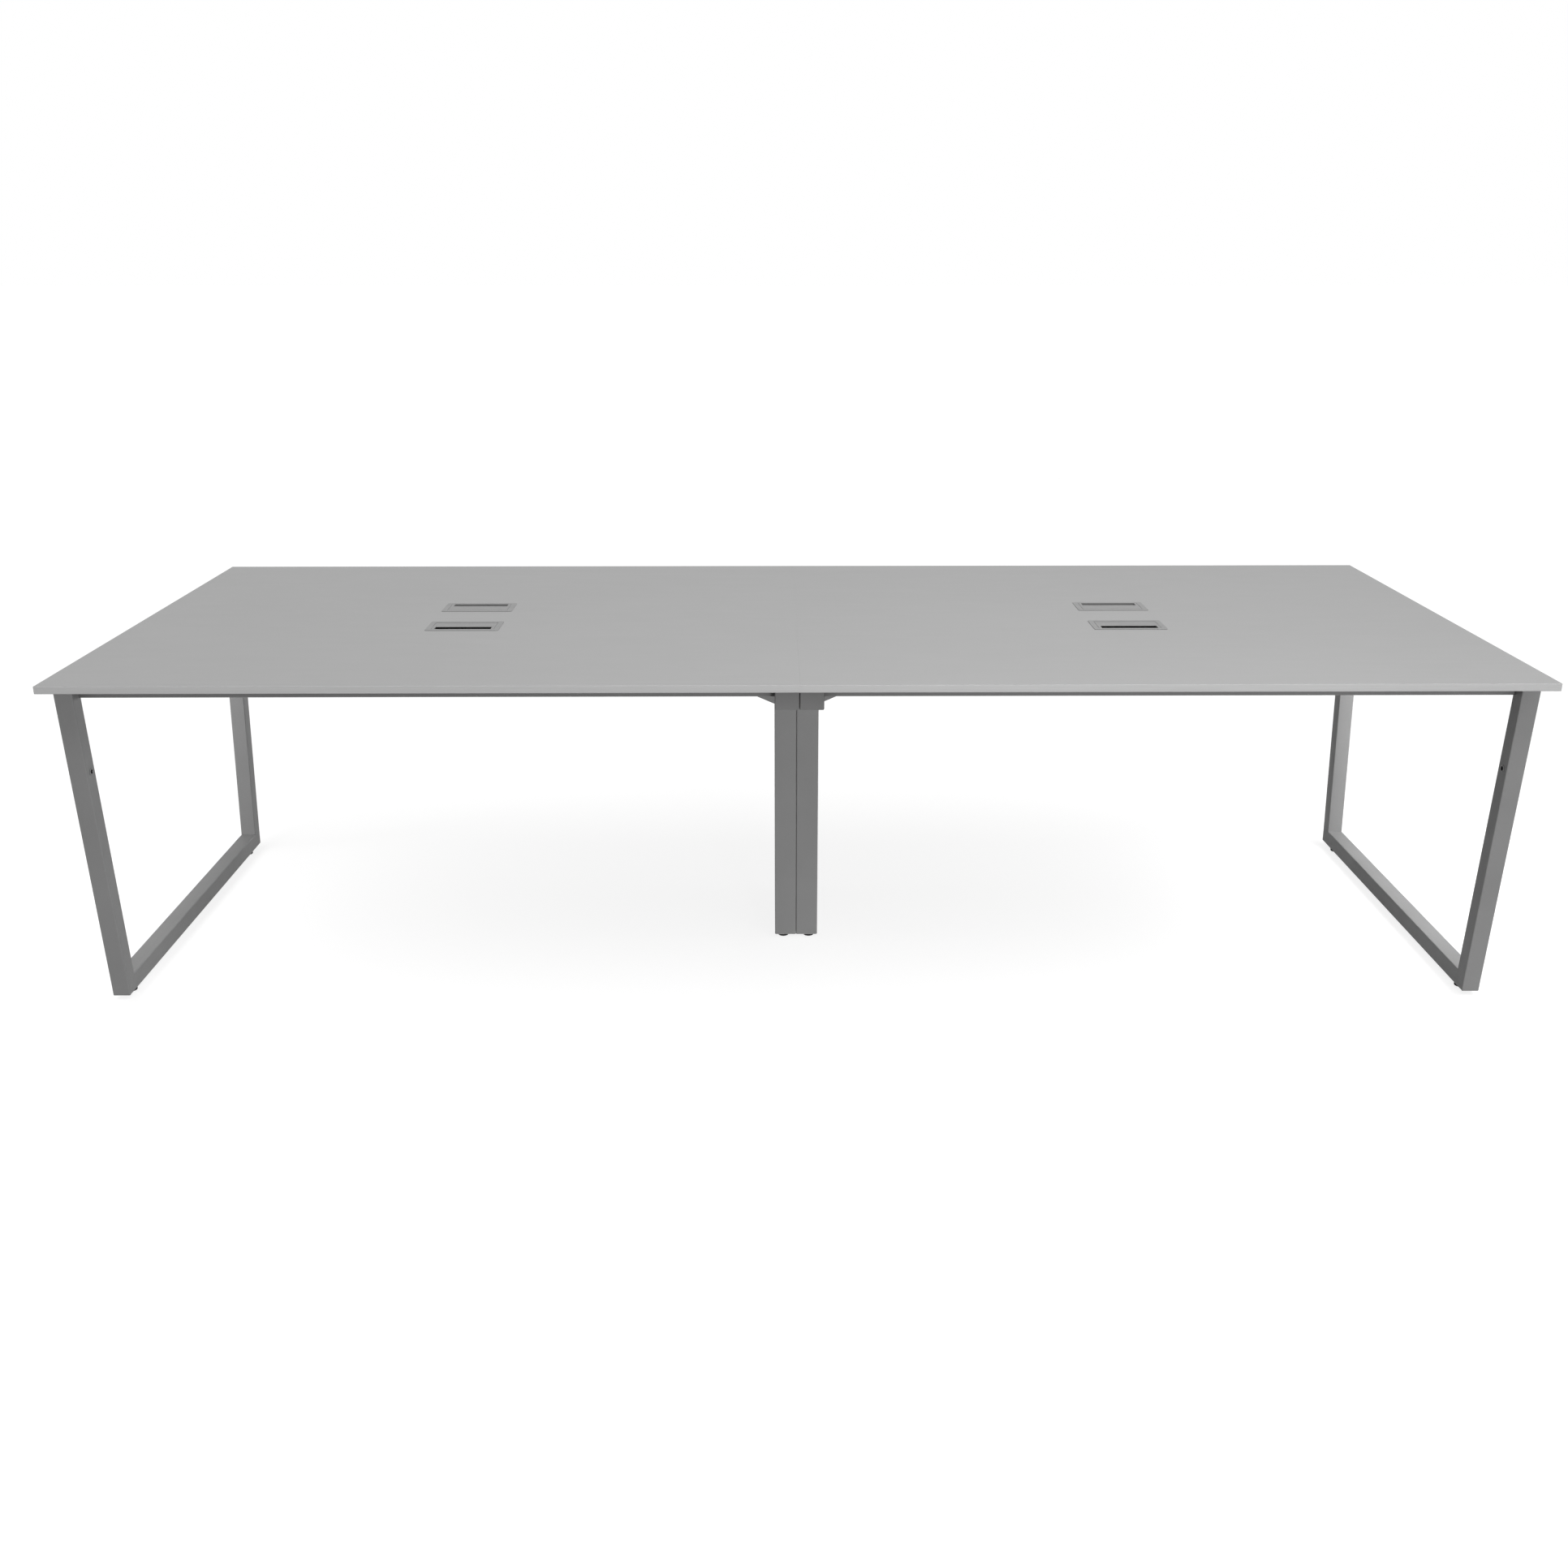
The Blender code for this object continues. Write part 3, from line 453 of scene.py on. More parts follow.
def powder_coat(name, grey, limits, peel, corner_shade_tone=None):
    """Powder coat: orange peel, a fine grit, small gloss changes and slight wear along edges.

    The corner tone is the share of the tone that is left in corners and close under other parts:
    painted shade.
    """
    finish = Finish(name)
    drift = finish.vary(finish.noise(scale=6.0, detail=3.0), amount=0.04)
    grit = finish.vary(finish.noise(scale=1800.0), amount=0.06)
    tone = finish.product(drift, grit, grey)
    if corner_shade_tone:
        # Painted shade: the tone darkens in corners and close under other parts
        unshaded = finish.shade_mask(distance=0.12)
        corner_shade = finish.spread(unshaded, low=corner_shade_tone, high=1.0, start=0.3, stop=0.95)
        tone = finish.product(tone, corner_shade)
    scuffs = finish.noise(scale=90.0, detail=5.0)
    chips = finish.spread(scuffs, low=0.0, high=1.0, start=0.45, stop=0.62)
    wear = finish.product(finish.edges(radius=0.0016, start=0.75, stop=0.98), chips)
    worn_tone = finish.product(tone, PAINT_WORN_TONE)
    tone = finish.choose(finish.product(wear, PAINT_WORN_SHARE), tone, worn_tone)
    roughness = finish.rough(finish.noise(scale=22.0, detail=4.0), limits)
    roughness = finish.choose(wear, roughness, finish.product(roughness, WORN_ROUGHNESS))
    finish.surface(tone, roughness, PAINT_GLOSS)
    finish.bump(finish.noise(scale=420.0), strength=peel, distance=0.0004)
    finish.bump(finish.noise(scale=2200.0), strength=0.10, distance=0.0002)
    return finish.material


def moulded_plastic(name, grey, limits, texture, gloss):
    """Moulded plastic with a spark-eroded skin, and slightly polished edges."""
    finish = Finish(name)
    flow = finish.vary(finish.noise(scale=30.0, detail=3.0, stretch=(0.3, 1, 1)), amount=0.03)
    skin = finish.vary(finish.noise(scale=2600.0, detail=3.0), amount=0.06)
    tone = finish.product(flow, skin, grey)
    patches = finish.spread(finish.noise(scale=150.0, detail=4.0), low=0.2, high=0.8)
    rubbed = finish.product(finish.edges(radius=0.0008, start=0.78, stop=0.98), patches)
    tone = finish.choose(rubbed, tone, finish.product(tone, PLASTIC_WORN_TONE))
    roughness = finish.rough(finish.noise(scale=45.0, detail=4.0), limits)
    roughness = finish.choose(rubbed, roughness, finish.product(roughness, WORN_ROUGHNESS))
    finish.surface(tone, roughness, gloss)
    finish.bump(finish.cells(scale=2400.0), strength=texture, distance=0.0002)
    finish.bump(finish.noise(scale=1200.0), strength=0.08, distance=0.0002)
    return finish.material


def plated_steel(name, grey):
    """Zinc plating: bright metal with cloudy crystals and fine drawing lines, and painted shade in
    sockets.
    """
    finish = Finish(name)
    crystal = finish.spread(finish.cells(scale=260.0), low=0.88, high=1.08, start=0.0, stop=0.8)
    cloud = finish.spread(finish.noise(scale=70.0, detail=4.0), low=0.90, high=1.06)
    # Painted shade: the tone darkens in sockets and bores
    unshaded = finish.shade_mask(distance=0.012)
    shade = finish.spread(unshaded, low=SOCKET_SHADE_TONE, high=1.0, start=0.35, stop=0.90)
    tone = finish.product(crystal, cloud, grey, shade)
    drawn = finish.noise(scale=700.0, detail=3.0, stretch=(0.1, 1, 1))
    finish.surface(tone, finish.rough(drawn, ZINC_ROUGHNESS), metallic=1.0)
    finish.bump(drawn, strength=0.12, distance=0.0002)
    finish.bump(finish.cells(scale=900.0), strength=0.06, distance=0.0002)
    return finish.material


LAMINATE = laminate_finish()
FRAME_PAINT = powder_coat("frame_powder_coat", PAINT_GREY, PAINT_ROUGHNESS, PAINT_PEEL)
# A copy of the frame's paint with painted shade, for the beams and crossbeams under the top
SHADED_BEAM_PAINT = powder_coat(
    "beam_powder_coat_painted_shade", PAINT_GREY, PAINT_ROUGHNESS, PAINT_PEEL, CORNER_SHADE_TONE
)
# A lighter copy of the frame's paint for the column: painted light
LIT_COLUMN_PAINT = powder_coat("column_powder_coat_painted_light", LIT_COLUMN_GREY, PAINT_ROUGHNESS, PAINT_PEEL)
TRAY_PAINT = powder_coat("tray_powder_coat", PAINT_GREY, TRAY_ROUGHNESS, TRAY_PEEL)
PORT_PLASTIC = moulded_plastic(
    "port_moulding", PORT_GREY, PORT_ROUGHNESS, PORT_TEXTURE, PORT_GLOSS
)
FOOT_PLASTIC = moulded_plastic(
    "foot_moulding", FOOT_GREY, FOOT_ROUGHNESS, FOOT_TEXTURE, FOOT_GLOSS
)
ZINC = plated_steel("zinc_plate", ZINC_GREY)
# Near-black plated steel for the bores: painted shade
BORE_SHADE_STEEL = plated_steel("bore_painted_shade", BORE_SHADE_GREY)
FINISH_OF_SLOT = {
    "laminate": LAMINATE,
    "frame_paint": FRAME_PAINT,
    "tray_paint": TRAY_PAINT,
    "port_plastic": PORT_PLASTIC,
    "zinc_steel": ZINC,
    "foot_plastic": FOOT_PLASTIC,
}


# Carried-over solids


def smooth_shading_group(name, limit):
    """A node group that shades a mesh smooth, apart from edges sharper than a limit."""
    group = bpy.data.node_groups.new(name, "GeometryNodeTree")
    group.interface.new_socket("Geometry", in_out="INPUT", socket_type="NodeSocketGeometry")
    group.interface.new_socket("Geometry", in_out="OUTPUT", socket_type="NodeSocketGeometry")
    start = group.nodes.new("NodeGroupInput")
    stop = group.nodes.new("NodeGroupOutput")
    faces = group.nodes.new("GeometryNodeSetShadeSmooth")
    edges = group.nodes.new("GeometryNodeSetShadeSmooth")
    edges.domain = "EDGE"
    edges.inputs["Shade Smooth"].default_value = False
    angle = group.nodes.new("GeometryNodeInputMeshEdgeAngle")
    sharp = group.nodes.new("FunctionNodeCompare")
    sharp.operation = "GREATER_THAN"
    sharp.inputs["B"].default_value = limit
    group.links.new(angle.outputs["Unsigned Angle"], sharp.inputs["A"])
    group.links.new(sharp.outputs["Result"], edges.inputs["Selection"])
    group.links.new(start.outputs["Geometry"], faces.inputs["Geometry"])
    group.links.new(faces.outputs["Geometry"], edges.inputs["Geometry"])
    group.links.new(edges.outputs["Geometry"], stop.inputs["Geometry"])
    return group


def even_normals(thing):
    """Keeps large flat faces flat beside rounded edges."""
    modifier = thing.modifiers.new("even_normals", "WEIGHTED_NORMAL")
    modifier.keep_sharp = True


tube_shading = smooth_shading_group("smooth_tube_corners", SMOOTH_TUBE)
fold_shading = smooth_shading_group("smooth_sheet_folds", SMOOTH_FOLD)


def node_finish(part):
    """The slot's finish; the tubes under the top get painted shade, and the column's sheet painted
    light.
    """
    if "beam" in part["node"]:
        return SHADED_BEAM_PAINT
    if part["node"] in COLUMN_NODES:
        return LIT_COLUMN_PAINT
    return FINISH_OF_SLOT[part["material_slot"]]


def dress_nodes():
    """Gives the carried-over solids their finishes, deburred edges and smooth corners."""
    for part in frame["record"]["subparts"]:
        node = frame["nodes"][part["node"]]
        node.data.materials.clear()
        node.data.materials.append(node_finish(part))
        weld = node.modifiers.new("weld", "WELD")
        weld.merge_threshold = WELD
        if part["material_slot"] in DEBURRED_SLOTS:
            flat = node.modifiers.new("flat_faces", "DECIMATE")
            flat.decimate_type = "DISSOLVE"
            flat.angle_limit = FLAT_LIMIT
            edges = node.modifiers.new("deburred_edges", "BEVEL")
            edges.width = DEBURR
            edges.segments = DEBURR_STEPS
            edges.limit_method = "ANGLE"
            edges.angle_limit = DEBURR_LIMIT
            clean = node.modifiers.new("clean", "WELD")
            clean.merge_threshold = CLEAN
        shading = node.modifiers.new("shading", "NODES")
        folded = part["material_slot"] == "tray_paint"
        shading.node_group = fold_shading if folded else tube_shading
        even_normals(node)


# Mesh helpers


def add_piece(name, bm, body, slot, replaced=()):
    """A piece that rides on a body, has its slot's finish and stands in for the replaced nodes."""
    bmesh.ops.remove_doubles(bm, verts=bm.verts, dist=WELD)
    bmesh.ops.recalc_face_normals(bm, faces=bm.faces)
    for face in bm.faces:
        face.smooth = True
    for edge in bm.edges:
        edge.smooth = edge.calc_face_angle(math.pi) < SMOOTH_PIECE
    mesh = bpy.data.meshes.new(name)
    bm.to_mesh(mesh)
    bm.free()
    mesh.materials.append(FINISH_OF_SLOT[slot])
    piece = bpy.data.objects.new(name, mesh)
    bpy.context.scene.collection.objects.link(piece)
    even_normals(piece)
    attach(piece, body)
    if replaced:
        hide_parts(*replaced)
    return piece


def placed(origin, direction=(0, 0, 1)):
    """A matrix that puts the Z axis on a direction, from an origin."""
    turn = Vector(direction).to_track_quat("Z", "Y").to_matrix().to_4x4()
    return Matrix.Translation(origin) @ turn


def turned(bm, profile, segments, matrix=None):
    """Turns (radius, height) points about Z. A radius may be a call that takes the angle."""
    matrix = matrix or Matrix.Identity(4)
    rings = []
    for radius, height in profile:
        ring = []
        for step in range(segments if radius else 1):
            angle = 2 * math.pi * step / segments
            reach = radius(angle) if callable(radius) else radius
            point = Vector((reach * math.cos(angle), reach * math.sin(angle), height))
            ring.append(bm.verts.new(matrix @ point))
        rings.append(ring)
    for low, high in zip(rings, rings[1:]):
        join_rings(bm, low, high, segments)


def join_rings(bm, low, high, count):
    """Faces between two rings of vertices. A ring of one vertex is a tip."""
    for step in range(count):
        after = (step + 1) % count
        corners = (
            low[step % len(low)],
            low[after % len(low)],
            high[after % len(high)],
            high[step % len(high)],
        )
        bm.faces.new(list(dict.fromkeys(corners)))


def arc(radius, steps, start=0.0, stop=math.pi / 2):
    """(cosine, sine) points of an arc, times its radius."""
    for step in range(steps + 1):
        angle = start + (stop - start) * step / steps
        yield radius * math.cos(angle), radius * math.sin(angle)


def hexagon(across):
    """The radius of a hexagon at an angle, from half its width across flats."""

    def radius(angle):
        share = angle % (2 * math.pi / HEX_SIDES) - math.pi / HEX_SIDES
        return across / math.cos(share)

    return radius


def lesser(radius, limit):
    """A radius that changes with the angle, cut off at a limit."""
    return lambda angle: min(radius(angle), limit)


def lobed(radius):
    """A six-lobed socket."""
    return lambda angle: radius * (1 + LOBE_DEPTH * math.cos(HEX_SIDES * angle))


def thread(radius, height, depth):
    """The radius of a screw thread round a height."""

    def reach(angle):
        share = (height / THREAD_PITCH - angle / (2 * math.pi)) % 1
        return radius - depth * abs(2 * share - 1)

    return reach


def thread_profile(radius, low, high, depth=THREAD_DEPTH):
    """(radius, height) points of a screw thread between two heights, for turned."""
    count = round((high - low) / THREAD_PITCH * THREAD_STEPS)
    heights = [low + (high - low) * step / count for step in range(count + 1)]
    return [(thread(radius, height, depth), height) for height in heights]


def rounded_outline(corner, opposite, radius, steps=OUTLINE_STEPS):
    """A rectangle's outline with round corners, as (x, y) points."""
    low_x, high_x = sorted((corner[0], opposite[0]))
    low_y, high_y = sorted((corner[1], opposite[1]))
    middles = (
        (high_x - radius, high_y - radius),
        (low_x + radius, high_y - radius),
        (low_x + radius, low_y + radius),
        (high_x - radius, low_y + radius),
    )
    points = []
    for quarter, (x, y) in enumerate(middles):
        start = quarter * math.pi / 2
        points += [(x + u, y + v) for u, v in arc(radius, steps, start, start + math.pi / 2)]
    return points


def softened(points, radii, steps=SOFT_CORNER_STEPS):
    """A polygon's outline with its corners rounded."""
    outline = []
    for index, (point, radius) in enumerate(zip(points, radii)):
        here = Vector(point)
        back = (Vector(points[index - 1]) - here).normalized()
        ahead = (Vector(points[(index + 1) % len(points)]) - here).normalized()
        half = back.angle(ahead) / 2
        middle = here + (back + ahead).normalized() * radius / math.sin(half)
        first = here + back * radius / math.tan(half) - middle
        last = here + ahead * radius / math.tan(half) - middle
        turn = first.angle_signed(last)
        for step in range(steps + 1):
            share = -turn * step / steps
            outline.append(middle + Matrix.Rotation(share, 2) @ first)
    return outline


def inset(outline, distance):
    """An outline moved towards its inside, for outlines that run counter-clockwise."""
    moved = []
    for index, point in enumerate(outline):
        here = Vector(point)
        along = Vector(outline[(index + 1) % len(outline)]) - Vector(outline[index - 1])
        moved.append(here + Vector((-along.y, along.x)).normalized() * distance)
    return moved


def raise_loops(bm, loops, closed):
    """Joins (outline, height) loops.

    A closed stack joins its last loop to its first, and an open one is capped.
    """
    rings = [[bm.verts.new((x, y, height)) for x, y in outline] for outline, height in loops]
    for low, high in zip(rings, rings[1:]):
        join_rings(bm, low, high, len(low))
    if closed:
        join_rings(bm, rings[-1], rings[0], len(rings[0]))
    else:
        bm.faces.new(rings[0])
        bm.faces.new(rings[-1])


def soft_box(bm, corner, opposite, radius):
    """A box between two corners with rounded edges."""
    corner = Vector(corner)
    opposite = Vector(opposite)
    size = [abs(a - b) for a, b in zip(corner, opposite)]
    matrix = Matrix.Translation((corner + opposite) / 2) @ Matrix.Diagonal((*size, 1))
    made = bmesh.ops.create_cube(bm, size=1, matrix=matrix)
    edges = list({edge for vertex in made["verts"] for edge in vertex.link_edges})
    bmesh.ops.bevel(
        bm, geom=edges, offset=radius, segments=BOX_EDGE_STEPS, profile=0.5, affect="EDGES"
    )


def united(first, second):
    """Joins two closed meshes into one."""
    things = []
    for bm in (first, second):
        mesh = bpy.data.meshes.new("join")
        bmesh.ops.recalc_face_normals(bm, faces=bm.faces)
        bm.to_mesh(mesh)
        bm.free()
        things.append(bpy.data.objects.new("join", mesh))
        bpy.context.scene.collection.objects.link(things[-1])
    modifier = things[0].modifiers.new("join", "BOOLEAN")
    modifier.operation = "UNION"
    modifier.object = things[1]
    result = bmesh.new()
    result.from_object(things[0], bpy.context.evaluated_depsgraph_get())
    for thing in things:
        bpy.data.meshes.remove(thing.data)
    return result


# Cable ports


def build_bezel(place, y_sign):
    """A port's rim and collar, with two rests for the lid's free corners."""
    node = f"port_bezel_{place}"
    low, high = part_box(node)
    top = high.z
    flange_bottom = top - BEZEL_HEIGHT
    inner_y, outer_y = (high.y, low.y) if y_sign < 0 else (low.y, high.y)
    back = inner_y + y_sign * BEZEL_RIM
    front = outer_y - y_sign * BEZEL_RIM
    left = low.x + BEZEL_RIM
    right = high.x - BEZEL_RIM

    def opening(grow, radius):
        return rounded_outline(
            (left - grow, back - y_sign * grow), (right + grow, front + y_sign * grow), radius
        )

    def outer(shrink):
        corner = (low.x + shrink, low.y + shrink)
        opposite = (high.x - shrink, high.y - shrink)
        return rounded_outline(corner, opposite, BEZEL_CORNER - shrink)

    loops = [(opening(0, BEZEL_LIP), low.z), (opening(0, BEZEL_LIP), top - BEZEL_LIP)]
    for u, v in arc(BEZEL_LIP, LIP_STEPS):
        loops.append((opening(BEZEL_LIP - u, 2 * BEZEL_LIP - u), top - BEZEL_LIP + v))
    for u, v in arc(BEZEL_EDGE, BEZEL_EDGE_STEPS, math.pi / 2, 0.0):
        loops.append((outer(BEZEL_EDGE - u), top - BEZEL_EDGE + v))
    loops.append((outer(0), flange_bottom))
    loops.append((opening(COLLAR_WALL, COLLAR_WALL), flange_bottom))
    loops.append((opening(COLLAR_WALL, COLLAR_WALL), low.z))
    ring = bmesh.new()
    raise_loops(ring, loops, closed=True)
    rests = bmesh.new()
    middle = (low.x + high.x) / 2
    for turn in (-1, 1):
        edge = middle + turn * REST_HALF
        wall = (right if turn > 0 else left) + turn * COLLAR_WALL / 2
        soft_box(
            rests,
            (edge, front - y_sign * REST_DEPTH, top - REST_TOP - REST_THICKNESS),
            (wall, front + y_sign * COLLAR_WALL / 2, top - REST_TOP),
            BEZEL_LIP / 2,
        )
    add_piece(f"bezel_moulding_{place}", united(ring, rests), "desk", "port_plastic", [node])


def build_lid(place, y_sign):
    """A notched plate with a finger relief under the notch, and its hinge barrel."""
    node = f"port_lid_{place}"
    low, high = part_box(node)
    top = high.z
    bottom = top - LID_THICKNESS
    middle = (low.x + high.x) / 2
    half = (high.x - low.x) / 2
    inner_y, free_y = (high.y, low.y) if y_sign < 0 else (low.y, high.y)
    hinge_y = inner_y + y_sign * HINGE_RADIUS
    notch_y = free_y - y_sign * NOTCH_DEPTH
    corners = [
        (-half, hinge_y, LID_EDGE),
        (half, hinge_y, LID_EDGE),
        (half, free_y, LID_CORNER),
        (NOTCH_HALF, free_y, NOTCH_CORNER),
        (NOTCH_HALF, notch_y, NOTCH_CORNER),
        (-NOTCH_HALF, notch_y, NOTCH_CORNER),
        (-NOTCH_HALF, free_y, NOTCH_CORNER),
        (-half, free_y, LID_CORNER),
    ]
    if y_sign < 0:
        corners.reverse()
    radii = [radius for _, _, radius in corners]
    outline = softened([(middle + x, y) for x, y, _ in corners], radii)
    relieved = [
        (middle + x, y - y_sign * FINGER_RELIEF if y == notch_y else y) for x, y, _ in corners
    ]
    lower = softened(relieved, radii)
    loops = [
        (inset(lower, LID_EDGE / 2), bottom),
        (lower, bottom + LID_EDGE / 2),
        (outline, top - FINGER_EDGE),
    ]
    for u, v in arc(LID_EDGE, LIP_STEPS):
        loops.append((inset(outline, LID_EDGE - u), top - LID_EDGE + v))
    plate = bmesh.new()
    raise_loops(plate, loops, closed=False)
    barrel = bmesh.new()
    start = Vector((middle - half + KNUCKLE_SINK, hinge_y, top - HINGE_RADIUS))
    radius = HINGE_RADIUS - KNUCKLE_SINK
    length = 2 * (half - KNUCKLE_SINK)
    profile = [(0, 0), (radius - LID_EDGE, 0), (radius, LID_EDGE)]
    profile += [(radius, length - LID_EDGE), (radius - LID_EDGE, length), (0, length)]
    turned(barrel, profile, BARREL_SEGMENTS, placed(start, (1, 0, 0)))
    lid = united(plate, barrel)
    add_piece(f"lid_moulding_{place}", lid, f"lid_{place}", "port_plastic", [node])


# Levelling feet and inserts


def build_foot(place, prefix):
    """A ribbed pad on a threaded stud."""
    node = f"{prefix}foot_{place}"
    body = f"{prefix}leveller_{place}"
    low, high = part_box(node)
    middle = (low + high) / 2
    spot = (middle.x, middle.y, low.z)
    seat = PAD_HEIGHT - STUD_SEAT

    def ribbed(radius, depth):
        return lambda angle: radius - depth * (0.5 - 0.5 * math.cos(PAD_RIBS * angle)) ** 2

    pad = bmesh.new()
    profile = [(0, 0.0)]
    profile += [(PAD_RADIUS * share, height) for share, height in PAD_GROOVE]
    profile += [(PAD_RADIUS - step, height) for step, height in PAD_EDGE]
    profile += [(ribbed(PAD_RADIUS - step, depth), height) for step, depth, height in PAD_RIB_BAND]
    profile += [(PAD_RADIUS - step, PAD_HEIGHT - drop) for step, drop in PAD_SHOULDER]
    profile += [
        (STUD_RADIUS + 2 * STUD_SEAT, PAD_HEIGHT),
        (STUD_RADIUS + STUD_SEAT, seat),
        (0, seat),
    ]
    turned(pad, profile, PAD_RIBS * RIB_STEPS, placed(spot))
    add_piece(f"{prefix}foot_pad_{place}", pad, body, "foot_plastic", [node])
    stud = bmesh.new()
    stud_top = high.z - low.z
    root = STUD_RADIUS - THREAD_DEPTH
    profile = [(0, seat), (root, seat)]
    profile += thread_profile(STUD_RADIUS, PAD_HEIGHT + STUD_SEAT, stud_top - STUD_POINT)
    profile += [(root, stud_top - STUD_BEVEL), (root - STUD_BEVEL, stud_top), (0, stud_top)]
    turned(stud, profile, SHANK_SEGMENTS, placed(spot))
    add_piece(f"{prefix}foot_stud_{place}", stud, body, "zinc_steel")


def insert_profile(threaded):
    """A rivet nut with the tube's outer face at height 0 and the tube's inside above it."""
    flange = INSERT_RADIUS + INSERT_FLANGE
    face = -INSERT_SEAT - INSERT_FLANGE_THICKNESS
    outside = [
        (INSERT_BORE + INSERT_MOUTH, face),
        (flange - INSERT_EDGE, face),
        (flange, face + INSERT_EDGE),
        (flange, -INSERT_SEAT),
        (INSERT_RADIUS, -INSERT_SEAT),
    ]
    outside += [(INSERT_RADIUS + step, height) for step, height in INSERT_BULB]
    outside += [
        (INSERT_RADIUS, INSERT_LENGTH - INSERT_TAIL),
        (INSERT_RADIUS - INSERT_TAIL, INSERT_LENGTH),
        (INSERT_BORE, INSERT_LENGTH),
    ]
    low = face + INSERT_MOUTH
    high = INSERT_LENGTH - INSERT_MOUTH
    if threaded:
        bore = thread_profile(INSERT_BORE, low, high, -THREAD_DEPTH / 2)
    else:
        bore = [(INSERT_BORE, low), (INSERT_BORE, high)]
    return [*outside, *reversed(bore), outside[0]]


def build_insert(node, matrix, threaded):
    """A rivet nut. Its flange is painted with the tube, and its bore is painted dark as shade."""
    bm = bmesh.new()
    turned(bm, insert_profile(threaded), HEAD_SEGMENTS, matrix)
    local = matrix.inverted()
    for face in bm.faces:
        middle = local @ face.calc_center_median()
        # The bore takes the near-black finish as painted shade, and the flange takes the tube's
        # paint
        if math.hypot(middle.x, middle.y) < INSERT_BORE + THREAD_DEPTH:
            face.material_index = INSERT_BORE_SHADE
        elif middle.z < 0:
            face.material_index = INSERT_PAINT
    piece = add_piece(f"rivet_nut_{node}", bm, "desk", "zinc_steel", [node])
    piece.data.materials.append(FRAME_PAINT)
    piece.data.materials.append(BORE_SHADE_STEEL)


def build_inserts():
    """Threaded rivet nuts in the legs' inner faces, and plain ones under the foot rails."""
    for place, _, x_sign in PLACES:
        node = f"panel_insert_{place}"
        low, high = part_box(node)
        middle = (low + high) / 2
        leg_low, leg_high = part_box(f"leg_{place}")
        face = leg_low.x if x_sign > 0 else leg_high.x
        build_insert(node, placed((face, middle.y, middle.z), (x_sign, 0, 0)), threaded=True)
        node = f"foot_insert_{place}"
        low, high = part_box(node)
        middle = (low + high) / 2
        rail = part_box(f"foot_rail_{place.split('_')[1]}")[0]
        build_insert(node, placed((middle.x, middle.y, rail.z)), threaded=False)


# Fasteners


def button_head(bm, matrix, radius, height):
    """A domed head with a six-lobed socket. Its bearing face is at height 0."""
    socket = radius * SOCKET_SHARE
    profile = [(0, 0.0)]
    profile += [(radius * reach, height * level) for reach, level in BUTTON_DOME]
    profile.append((socket * SOCKET_RIM, height))
    profile += [(lobed(socket * reach), height * level) for reach, level in SOCKET_WALL]
    profile.append((0, height * SOCKET_FLOOR))
    turned(bm, profile, HEAD_SEGMENTS, matrix)


def build_tray_screws():
    """Screws that hold the trays' flanges up to the tops."""
    for side in SIDES:
        low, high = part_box(f"cable_tray_{side}")
        bm = bmesh.new()
        seat = high.z - TRAY_SHEET
        for y in (low.y + TRAY_FLANGE / 2, high.y - TRAY_FLANGE / 2):
            for share in TRAY_SCREWS:
                x = low.x + (high.x - low.x) * share
                matrix = placed((x, y, seat), (0, 0, -1))
                button_head(bm, matrix, TRAY_SCREW_RADIUS, TRAY_SCREW_HEIGHT)
        add_piece(f"tray_screws_{side}", bm, "desk", "zinc_steel")


def build_tab_bolts():
    """Bolts that hold each beam's end tabs to the crossbeam and to the end frame's top rail."""
    grip = WASHER_THICKNESS - WASHER_EDGE
    rim = WASHER_RADIUS - WASHER_EDGE
    shank = [
        (0, -TAB_SHANK_DEPTH),
        (TAB_SHANK_RADIUS, -TAB_SHANK_DEPTH),
        (TAB_SHANK_RADIUS, grip),
        (0, grip),
    ]
    washer = [
        (WASHER_BORE, 0.0),
        (rim, 0.0),
        (WASHER_RADIUS, WASHER_EDGE),
        (WASHER_RADIUS, grip),
        (rim, WASHER_THICKNESS),
        (WASHER_BORE, WASHER_THICKNESS),
        (WASHER_BORE, 0.0),
    ]
    for place, y_sign, _ in PLACES:
        low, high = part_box(f"beam_{place}")
        tab_y = high.y if y_sign < 0 else low.y
        y = tab_y + y_sign * TAB_BOLT_INSET
        z = (low.z + high.z) / 2
        bm = bmesh.new()
        for x, direction in ((low.x, 1), (high.x, -1)):
            matrix = placed((x + direction * TAB_THICKNESS, y, z), (direction, 0, 0))
            turned(bm, shank, SHANK_SEGMENTS, matrix)
            turned(bm, washer, HEAD_SEGMENTS, matrix)
            matrix = matrix @ Matrix.Translation((0, 0, WASHER_THICKNESS))
            button_head(bm, matrix, TAB_BOLT_RADIUS, TAB_BOLT_HEIGHT)
        add_piece(f"tab_bolts_{place}", bm, "desk", "zinc_steel")


